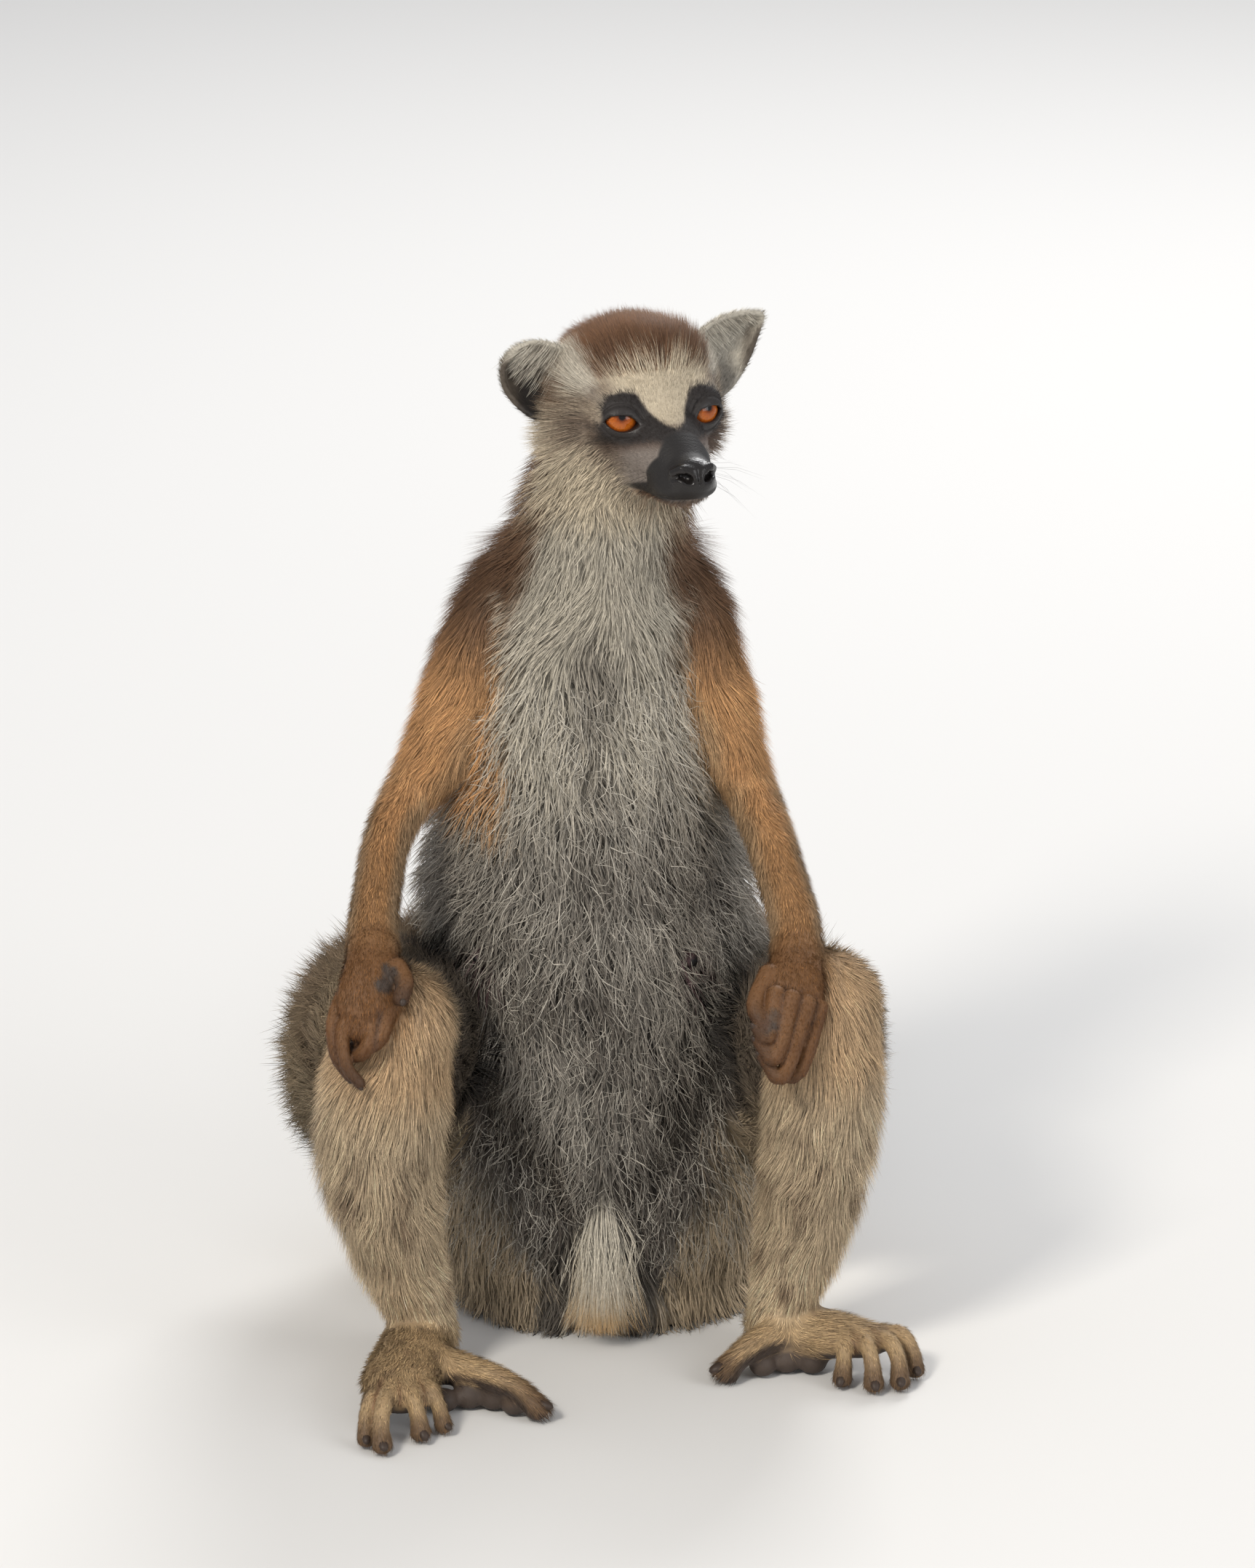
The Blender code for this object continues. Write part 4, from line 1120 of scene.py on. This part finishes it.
def skin_samples(mesh):
    """Random roots all over the skin, denser where the coat is finer: points and normals."""
    points = mesh_points(mesh)
    corners = read_mesh(mesh.polygons, "vertices", 3, np.int32)
    tri = points[corners]
    cross = np.cross(tri[:, 1] - tri[:, 0], tri[:, 2] - tri[:, 0])
    area = np.linalg.norm(cross, axis=1) / 2
    here = describe(tri.mean(1), unit(cross))
    density = np.array([COATS[kind][0] for kind in KINDS])[kinds_of(here)]
    wanted = area * (density * coat_density(tri.mean(1), unit(cross), here["part"]))
    count = int(wanted.sum())
    edges = np.cumsum(wanted)
    face = np.minimum(np.searchsorted(edges, random.random(count) * edges[-1]), len(area) - 1)
    r = np.sqrt(random.random(count))
    t = random.random(count)
    weights = np.stack([1 - r, r * (1 - t), r * t], 1)
    normals = read_mesh(mesh.vertices, "normal")[corners[face]]
    root = (tri[face] * weights[..., None]).sum(1)
    return root, unit((normals * weights[..., None]).sum(1))


def coat_density(p, normal, part):
    """Share of the part's own density: none where the skin is bare, more on the neck."""
    share = np.ones(len(p))
    head = part == len(CHAINS)
    h = to_head(p[head])
    off_lids = lid_gap(h) + 20 * (eye_frame(h)[0] < 0)
    share[head] = (1 - ramp(0.3, 0.7, bare_muzzle(h))) * ramp(1.4, 2.8, off_lids)
    trunk = part == 0
    share[trunk] *= 1 + 1.8 * ramp(228, 266, p[trunk, 2])
    for ends in NIPPLES:
        share[trunk] *= ramp(2.2, 4.2, capsules(p[trunk], ends, NIPPLE_BARE))
    regions = np.array([name.split("_")[0] for name in PART_NAMES])[part]
    hands, feet = regions == "hand", regions == "foot"
    share[feet] *= ramp(-0.5, -0.1, normal[feet][:, 2]) * ramp(0.2, 1.6, pad_distance(p[feet]))
    share[hands] *= ramp(-0.95, -0.5, normal[hands][:, 2])
    return share * ramp(0.5, 1.2, p[:, 2])


def blade_faces(rings):
    """Triangles of one closed three-sided blade, tip last."""
    faces = [(0, 2, 1)]
    for a in range(0, 3 * rings, 3):
        for k in range(3):
            n = (k + 1) % 3
            if a == 3 * (rings - 1):
                faces.append((a + k, a + n, a + 3))
            else:
                faces += [(a + k, a + n, a + n + 3), (a + k, a + n + 3, a + k + 3)]
    return np.array(faces)


def tuft_mesh(name, roots, normals, flows, look, rings):
    """One mesh of closed blades. look: length, width, root rise, tip rise, curl, colour and unwrap place."""
    count = len(roots)
    here = roots - normals * 0.35
    points, colours, places = [], [], []
    across_flow = np.cross(normals, flows)
    for ring in range(rings + 1):
        s = ring / rings
        rise = look["root_rise"] + (look["tip_rise"] - look["root_rise"]) * s
        turn = look["curl"] * s + look["wave"] * np.sin(look["phase"] + 5.5 * s)
        # Painted shade: darker at the root, deep in the coat, and lighter towards the tip, over each tuft's
        # own random tone.
        shade = look["shade"] * (0.87 + 0.2 * s)
        colour = np.clip(mix(look["colour"], look["tip"], s ** 3) * shade[:, None], 0, 1)
        if ring == rings:
            points.append(here[:, None])
            colours.append(colour[:, None])
            places.append(np.tile([0.5, 1.0], (count, 1, 1)))
            break
        ahead = flows * np.cos(turn)[:, None] + across_flow * np.sin(turn)[:, None]
        way = ahead * np.cos(rise)[:, None] + normals * np.sin(rise)[:, None]
        u = unit(np.cross(way, normals))
        v = np.cross(u, way)
        half = 0.5 * RING_WIDTHS[rings][ring] * look["width"][:, None]
        points.append(np.stack([here + u * half, here - u * half, here + v * half * 0.55], 1))
        colours.append(np.repeat(colour[:, None], 3, 1))
        places.append(np.tile([[1, s], [0, s], [0.5, s]], (count, 1, 1)))
        here = here + way * (look["length"] / rings)[:, None]
    points = np.concatenate(points, 1)
    points[..., 2] = np.maximum(points[..., 2], 0.2)
    per = points.shape[1]
    triangles = (blade_faces(rings) + per * np.arange(count)[:, None, None]).reshape(-1, 3)
    places = (np.concatenate(places, 1) - 0.5) * PATCH + look["place"][:, None]
    mesh = bpy.data.meshes.new(name)
    mesh.vertices.add(count * per)
    mesh.vertices.foreach_set("co", (points * MM).astype(np.float32).reshape(-1))
    mesh.loops.add(len(triangles) * 3)
    mesh.loops.foreach_set("vertex_index", triangles.astype(np.int32).reshape(-1))
    mesh.polygons.add(len(triangles))
    mesh.polygons.foreach_set("loop_start", np.arange(0, 3 * len(triangles), 3, dtype=np.int32))
    mesh.update(calc_edges=True)
    mesh.shade_smooth()
    soften(mesh, np.repeat(normals, per, 0))
    set_colour(mesh, np.concatenate(colours, 1).reshape(-1, 3))
    layer = mesh.uv_layers.new(name="OFBake")
    layer.data.foreach_set("uv", places.reshape(-1, 2)[triangles.reshape(-1)].astype(np.float32).reshape(-1))
    return mesh


def soften(mesh, body_normals):
    """Turns the blades' normals towards the body's, so that the coat takes light as one soft surface."""
    own = read_mesh(mesh.vertices, "normal")
    mesh.normals_split_custom_set_from_vertices(unit(mix(own, body_normals, BODY_LIGHT)))


def set_colour(mesh, colours):
    """Stores display colours on the points, as linear light."""
    linear = np.where(colours <= 0.04045, colours / 12.92, ((colours + 0.055) / 1.055) ** 2.4)
    values = np.concatenate([linear, np.ones((len(linear), 1))], 1).astype(np.float32)
    attribute = mesh.color_attributes.new("coat_colour", "FLOAT_COLOR", "POINT")
    attribute.data.foreach_set("color", values.reshape(-1))


def unwrap_place(part, place):
    """A part's own rectangle on the unwrap, by angle round it and way along it."""
    corner = np.stack([part % CELLS, part // CELLS], 1) / CELLS
    return corner + (0.04 + 0.92 * np.clip(place, 0, 1)) / CELLS


def coat_look(roots, here, kind):
    """Length, width, lie and colour of each tuft."""
    _, width, root_rise, tip_rise, curl, _ = COATS[kind]
    count = len(roots)
    root_rise, tip_rise = np.full(count, math.radians(root_rise)), np.full(count, math.radians(tip_rise))
    if kind == "head":
        lift = 1 + 0.9 * ramp(5, 9, here["coat"])
        root_rise, tip_rise = root_rise * lift, tip_rise * lift
    if kind == "trunk":
        neck = ramp(232, 256, roots[:, 2])
        root_rise, tip_rise = root_rise * (1 + 0.35 * neck), tip_rise + 0.25 * neck
        width = width * (1 - 0.48 * ramp(228, 266, roots[:, 2]))
    shade_spread = 0.14 if kind in ("arm", "thigh", "shank", "foot", "hand") else 0.09
    rise = (np.sin(root_rise) + np.sin(tip_rise)) / 2
    length = here["coat"] / rise * random.uniform(0.72, 1.05, count)
    return {
        "root_rise": root_rise * random.uniform(0.6, 1.3, count),
        "tip_rise": tip_rise * random.uniform(0.3, 1.7, count),
        "length": np.maximum(length, 1.4),
        "width": width * random.uniform(0.7, 1.25, count),
        "curl": random.normal(0, curl, count),
        "wave": random.normal(0, 0.7, count) if kind == "wisp" else np.zeros(count),
        "phase": random.uniform(0, 6.3, count),
        "shade": random.normal(1.0, shade_spread, count),
        "colour": here["colour"],
        "tip": here["colour"],
        "place": unwrap_place(here["part"], here["place"]),
    }


def add_piece(name, roots, normals, flows, look, rings=2):
    mesh = tuft_mesh(name, roots, normals, flows, look, rings)
    piece = add_object(name, mesh, coat_material())
    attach(piece, "root")
    print(name, len(roots), "tufts", len(mesh.polygons), "triangles")


def add_kind(kind, rows, roots, normals, flows, here):
    """The tufts of one kind, in pieces of no more than the export takes."""
    rings = COATS[kind][5]
    step = TUFTS_A_PIECE[rings]
    for number, start in enumerate(range(0, len(rows), step)):
        some = rows[start:start + step]
        look = coat_look(roots[some], {name: value[some] for name, value in here.items()}, kind)
        add_piece(f"coat_{kind}_{number + 1}", roots[some], normals[some],
                  flows[some], look, rings)


def make_coat(skin):
    roots, normals = skin_samples(skin.data)
    order = np.argsort(roots[:, 2], kind="stable")
    roots, normals = roots[order], normals[order]
    here = describe(roots, normals)
    blur = random.normal(0, 1.4, roots.shape) * np.minimum(1.0, here["coat"] / 6)[:, None]
    here["colour"] = describe(roots + blur, normals)["colour"]
    # Locks: neighbours turn together, more where the coat is long.
    waves = noise(roots, 9.0, 1) + 0.5 * noise(roots, 4.0, 2) - 0.75
    turn = random.normal(0, 0.1, len(roots)) + waves * 1.5 * np.minimum(1.0, here["coat"] / 7)
    flows = here["flow"] * np.cos(turn)[:, None] + np.cross(normals, here["flow"]) * np.sin(turn)[:, None]
    kinds = kinds_of(here)
    for number, kind in enumerate(KINDS[:-1]):
        add_kind(kind, np.flatnonzero(kinds == number), roots, normals, flows, here)
    front = (here["part"] == 0) & (normals[:, 1] < -0.15) & (roots[:, 2] > 30) & (roots[:, 2] < 236)
    rows = np.sort(random.permutation(np.flatnonzero(front))[:WISPS])
    here["colour"][rows] = mix(here["colour"][rows], PALETTE["wisp"], random.uniform(0.45, 1.0, len(rows)))
    here["coat"][rows] *= 1.12
    add_kind("wisp", rows, roots, normals, flows, here)
    make_brush()
    make_ear_wisps()
    make_whiskers()


def straight_look(count, lengths, width, colour, tip, root_rise, tip_rise):
    """Hairs placed one by one, with a lie of their own."""
    return {
        "length": lengths, "width": width * random.uniform(0.8, 1.2, count),
        "root_rise": np.full(count, root_rise), "tip_rise": np.full(count, tip_rise),
        "curl": random.normal(0, 0.08, count),
        "wave": random.normal(0, 0.06, count), "phase": random.uniform(0, 6.3, count),
        "shade": random.normal(1.0, 0.07, count), "colour": paint(count, colour), "tip": paint(count, tip),
        "place": unwrap_place(np.zeros(count, int), random.uniform(0.0, 0.05, (count, 2))),
    }


def make_brush():
    """The white brush between the buttocks, spreading to the floor."""
    count = BRUSH_HAIRS
    high = random.uniform(0, 1, count)
    across = random.normal(0, 1, count)
    roots = np.stack([-0.5 + across * (0.9 + 3.0 * (1 - high)), -31 - 3 * random.uniform(0, 1, count),
                      14 + 44 * high], 1)
    lean = np.clip(0.55 * across + 0.85 * random.normal(0, 1, count), -2.2, 2.2)
    ends = np.stack([0.5 + 7.2 * lean, -43 + 9 * (lean / 2) ** 2 - 6 * random.uniform(0, 1, count),
                     0.8 + 14 * random.uniform(0, 1, count) ** 2 + 9 * high ** 3], 1)
    way = ends - roots
    flows = unit(way)
    normals = unit(np.array([0, -1.0, 0]) + flows * flows[:, 1:2])
    look = straight_look(count, np.linalg.norm(way, axis=1) * 1.02, 0.27, "bib", "tuft_tip", 0.5, -0.42)
    look["tip"] = mix(look["tip"], look["colour"], ramp(2, 9, ends[:, 2]))
    look["colour"] *= 1.06
    look["wave"] = random.normal(0, 0.15, count)
    add_piece("coat_brush", roots, normals, flows, look)


def make_ear_wisps():
    """Long pale hairs from the front edge of each ear across its cup."""
    for side, sign, longest in (("right", -1, 11.0), ("left", 1, 6.5)):
        lower, upper = (along(edge, 40) for edge in EAR_EDGES[side])
        count = EAR_HAIRS[side]
        at = random.integers(0, int(len(upper) * 0.86), count)
        share = random.uniform(-0.1, 0.5, count)
        start = mix(upper[at], lower[at], share)
        start[:, 0] += random.uniform(0.3, 1.6, count) - EAR_DISH * 1.6 * np.clip(share, 0, 1)
        way = (lower[at] - upper[at]) * random.uniform(0.5, 1.0, (count, 1)) + [1.5, 4.0, -2.0]
        way += random.normal(0, 1.2, (count, 3))
        roots = from_head(start * (1, sign, 1))
        flows = unit(from_head((start + way) * (1, sign, 1)) - roots)
        normals = unit(np.cross(flows, np.cross(FORWARD, flows)))
        lengths = random.uniform(4.0, longest, count)
        look = straight_look(count, lengths, 0.17, "ear_white", "ear_white", 0.3, -0.35)
        look["colour"] = mix(look["colour"], PALETTE["ear_dark"], random.uniform(0, 0.6, count))
        add_piece("coat_ear_wisps_" + side, roots, normals, flows, look)


def make_whiskers():
    """Long dark hairs of the lip, in three rows a side."""
    places = [(sign, row, k) for sign in (-1, 1) for row in range(3) for k in range(4)]
    start = np.array([(13.5 - 2.6 * k, sign * (9.6 + 0.7 * k), -14.5 - 2.2 * row) for sign, row, k in places])
    ways = np.array([(0.15 - 0.22 * k, sign, -0.15 - 0.25 * row) for sign, row, k in places])
    count = len(places)
    start[:, 1:] += random.normal(0, 0.25, (count, 2))
    roots = from_head(start)
    flows = unit(from_head(start + unit(ways)) - roots)
    normals = unit(np.cross(unit(np.cross(flows, UPWARD)), flows))
    look = straight_look(count, random.uniform(18, 29, count), 0.16, "patch", "patch", 0.0, -0.5)
    add_piece("whiskers", roots, normals, flows, look)


# ---------------- materials


def new_material(name, roughness, specular=0.3):
    """A new material, its node tree and its shader."""
    material = bpy.data.materials.new(name)
    material.use_nodes = True
    shader = material.node_tree.nodes["Principled BSDF"]
    shader.inputs["Roughness"].default_value = roughness
    shader.inputs["Specular IOR Level"].default_value = specular
    return material, material.node_tree, shader


def feed(tree, node, inputs):
    """Gives each input of a node its value, or the output that feeds it."""
    for name, value in inputs.items():
        if isinstance(value, bpy.types.NodeSocket):
            tree.links.new(value, node.inputs[name])
        else:
            node.inputs[name].default_value = value


def add_node(tree, kind, inputs=None, **settings):
    """Adds a shader node and returns its outputs."""
    node = tree.nodes.new("ShaderNode" + kind)
    for name, value in settings.items():
        setattr(node, name, value)
    feed(tree, node, inputs or {})
    return node.outputs


def uneven(tree, colour, value, low, high, **span):
    """A colour whose brightness goes from low to high with a value."""
    share = add_node(tree, "MapRange", {"Value": value, "To Min": low, "To Max": high, **span})["Result"]
    return add_node(tree, "Mix", {"Factor": 1.0, "A": colour, "B": share}, data_type="RGBA",
                    blend_type="MULTIPLY")["Result"]


def coat_material():
    """Hair: the tuft's own colour, with fine uneven brightness."""
    if "coat" in bpy.data.materials:
        return bpy.data.materials["coat"]
    material, tree, shader = new_material("coat", 0.62, 0.22)
    own = add_node(tree, "Attribute", attribute_name="coat_colour")["Color"]
    place = add_node(tree, "TexCoord")["Object"]
    grain = add_node(tree, "TexNoise", {"Vector": place, "Scale": 900, "Detail": 2})["Fac"]
    colour = uneven(tree, own, grain, 0.8, 1.2, **{"From Min": 0.3, "From Max": 0.7})
    feed(tree, shader, {"Base Color": colour})
    return material


def skin_material():
    """Undercoat and bare skin, in the coat's own markings, with pores and short pile as bump."""
    material, tree, shader = new_material("skin", 0.6, 0.35)
    own = add_node(tree, "Attribute", attribute_name="coat_colour")["Color"]
    place = add_node(tree, "TexCoord")["Object"]
    pile = add_node(tree, "TexNoise", {"Vector": place, "Scale": 1400, "Detail": 3})["Fac"]
    bump = add_node(tree, "Bump", {"Height": pile, "Strength": 0.35, "Distance": 0.0004})["Normal"]
    bare = add_node(tree, "Attribute", attribute_name="bare")["Fac"]
    gloss = add_node(tree, "MapRange", {"Value": bare, "To Min": 0.62, "To Max": 0.24})["Result"]
    feed(tree, shader, {"Base Color": own, "Roughness": gloss, "Normal": bump})
    return material


# ---------------- eyes

IRIS_RINGS = (          # share of the eyeball's radius, and colour
    (0.0, (0.003, 0.002, 0.002)), (0.13, (0.004, 0.002, 0.002)), (0.17, (0.10, 0.02, 0.004)),
    (0.30, (0.30, 0.065, 0.006)), (0.52, (0.40, 0.10, 0.008)), (0.66, (0.24, 0.048, 0.005)),
    (0.74, (0.03, 0.01, 0.005)), (0.84, (0.016, 0.010, 0.009)), (1.0, (0.03, 0.02, 0.018)),
)


def make_eye(side, sign):
    """An eyeball with a slight corneal dome, its iris and pupil painted round its own axis."""
    mesh = bpy.data.meshes.new("eyeball_" + side)
    bm = bmesh.new()
    bmesh.ops.create_uvsphere(bm, u_segments=64, v_segments=48, radius=1)
    for vert in bm.verts:
        vert.co *= EYE_RADIUS * MM * (0.985 + 0.03 * ramp(0.62, 0.95, vert.co.z))
    bm.to_mesh(mesh)
    bm.free()
    mesh.shade_smooth()
    eye = add_object("eyeball_" + side, mesh, eye_material())
    forward, left, up = EYE_PLACE
    eye.location = Vector(from_head([forward, sign * left, up]) * MM)
    gaze = FORWARD * math.cos(EYE_OUTWARD) + LEFTWARD * sign * math.sin(EYE_OUTWARD)
    gaze = gaze * math.cos(EYE_PITCH) + UPWARD * math.sin(EYE_PITCH)
    eye.rotation_euler = Vector(gaze).to_track_quat("Z", "Y").to_euler()
    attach(eye, "root")
    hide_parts("eye_" + side)


def eye_material():
    """Pupil, iris and dark edge as rings round the eyeball's own axis, with fine rays in the iris."""
    if "iris" in bpy.data.materials:
        return bpy.data.materials["iris"]
    material, tree, shader = new_material("iris", 0.25, 0.1)
    shader.inputs["Coat Weight"].default_value = 0.6
    shader.inputs["Coat Roughness"].default_value = 0.02

    def maths(operation, *values):
        return add_node(tree, "Math", dict(enumerate(values)), operation=operation)[0]

    across = add_node(tree, "SeparateXYZ", {"Vector": add_node(tree, "TexCoord")["Object"]})
    angle = maths("ARCTAN2", across["X"], across["Y"])
    squares = [maths("MULTIPLY", across[axis], across[axis]) for axis in "XY"]
    radius = maths("DIVIDE", maths("SQRT", maths("ADD", *squares)), EYE_RADIUS * MM)
    turned = add_node(tree, "CombineXYZ", {"X": angle, "Y": radius})["Vector"]
    rays = add_node(tree, "TexNoise", {"Vector": turned, "Scale": 6, "Detail": 4},
                    noise_dimensions="2D")["Fac"]
    rings = tree.nodes.new("ShaderNodeValToRGB")
    stops = rings.color_ramp.elements
    for stop, (place, colour) in zip(stops, (IRIS_RINGS[0], IRIS_RINGS[-1])):
        stop.position, stop.color = place, (*colour, 1)
    for place, colour in IRIS_RINGS[1:-1]:
        stops.new(place).color = (*colour, 1)
    feed(tree, rings, {"Fac": radius})
    feed(tree, shader, {"Base Color": uneven(tree, rings.outputs["Color"], rays, 0.65, 1.35)})
    return material


# ---------------- stage

CAMERA_PLACE = (0.00829, -2.60725, 1.03671)
CAMERA_PITCH = 18           # degrees below level
CAMERA_LENS = 183.3
FLOOR_SIZE = 12
LIT_POINT = (0, 0, 0.18)
LIGHTS = (                  # name, place, size, power, colour
    ("key", (-1.0, -1.75, 1.8), 0.5, 42, (1.0, 0.95, 0.87)),
    ("fill", (1.6, -1.3, 1.0), 1.2, 14, (1.0, 1.0, 1.0)),
    ("back", (0.5, 1.7, 1.6), 0.9, 26, (1.0, 1.0, 1.0)),
)


def make_stage():
    """Camera, pale floor and three soft lights."""
    scene = bpy.context.scene
    scene.view_settings.view_transform = "Standard"
    camera = add_object("camera", bpy.data.cameras.new("camera"))
    camera.location = CAMERA_PLACE
    camera.rotation_euler = (math.radians(90 - CAMERA_PITCH), 0, 0)
    camera.data.sensor_fit = "VERTICAL"
    camera.data.sensor_height = 36
    camera.data.lens = CAMERA_LENS
    scene.camera = camera
    bpy.ops.mesh.primitive_plane_add(size=FLOOR_SIZE)
    floor = bpy.context.object
    floor.name = "floor"
    material, _, shader = new_material("floor", 0.9, 0.5)
    shader.inputs["Base Color"].default_value = (0.72, 0.71, 0.69, 1)
    floor.data.materials.append(material)
    scene.world = bpy.data.worlds.new("world")
    scene.world.use_nodes = True
    sky = scene.world.node_tree.nodes["Background"]
    sky.inputs["Color"].default_value = (0.93, 0.95, 1.0, 1)
    sky.inputs["Strength"].default_value = 0.55
    for name, place, size, power, colour in LIGHTS:
        light = add_object(name, bpy.data.lights.new(name, "AREA"))
        light.location = place
        light.rotation_euler = (Vector(LIT_POINT) - Vector(place)).to_track_quat("-Z", "Y").to_euler()
        light.data.size, light.data.energy, light.data.color = size, power, colour


# ---------------- nails

NAIL_SIZE = (0.72, 0.48, 0.34)      # half length, width and thickness, as shares of the digit's radius


def make_nails():
    """A small dark nail over the end of each finger and toe."""
    material, _, shader = new_material("nail", 0.5, 0.3)
    shader.inputs["Base Color"].default_value = (0.045, 0.03, 0.022, 1)
    bm = bmesh.new()
    for chain in CHAINS:
        if chain.digit in ("", "palm", "heel"):
            continue
        tip, ahead, radius = chain.centre[-1], chain.tangent[-1], chain.wide[-1]
        if chain.region.startswith("foot"):
            ahead = unit(ahead * (1, 1, 0.35))
            back = UPWARD
        else:
            back = unit(chain.centre[-4] - chain.centre[0]) + np.array([0, -0.6, 0])
        back = unit(back - ahead * (back @ ahead))
        axes = np.array([ahead, np.cross(ahead, back), back])
        centre = tip + radius * (0.55 * ahead + 0.62 * back)
        for vert in bmesh.ops.create_icosphere(bm, subdivisions=2, radius=1)["verts"]:
            vert.co = Vector((centre + radius * (np.array(vert.co) * NAIL_SIZE) @ axes) * MM)
    mesh = bpy.data.meshes.new("nails")
    bm.to_mesh(mesh)
    bm.free()
    mesh.shade_smooth()
    nails = add_object("nails", mesh, material)
    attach(nails, "root")


# ---------------- making

# Painted shade: the skin under the coat takes the coat's colour darkened by this factor.
UNDERCOAT_PAINTED_SHADE = 0.92


def finish_skin(skin):
    """Colours the skin with the coat's markings, darkened as painted shade beneath the coat, and tells where
    it is bare.
    """
    mesh = skin.data
    points = mesh_points(mesh)
    here = describe(points, read_mesh(mesh.vertices, "normal").astype(float))
    set_colour(mesh, here["colour"] * UNDERCOAT_PAINTED_SHADE)
    h = to_head(points)
    lids = ramp(1.6, 0.2, np.abs(lid_gap(h) - 0.3)) * (eye_frame(h)[0] > 0) * (np.abs(h[:, 0]) < 12)
    nose = 0.9 * ramp(23.5, 26, h[:, 0]) * ramp(-19, -17.5, h[:, 2]) + 0.15 * bare_muzzle(h)
    bare = np.clip(np.maximum(nose, 0.6 * lids) * near_head(points), 0, 1)
    mesh.attributes.new("bare", "FLOAT", "POINT").data.foreach_set("value", bare.astype(np.float32))
    mesh.materials.append(skin_material())
    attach(skin, "root")
    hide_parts(*(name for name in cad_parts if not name.startswith("eye")))


make_stage()
skin = make_skin()
finish_skin(skin)
for side, sign in (("left", 1), ("right", -1)):
    make_eye(side, sign)
make_nails()
make_coat(skin)
print("skin triangles", len(skin.data.polygons))
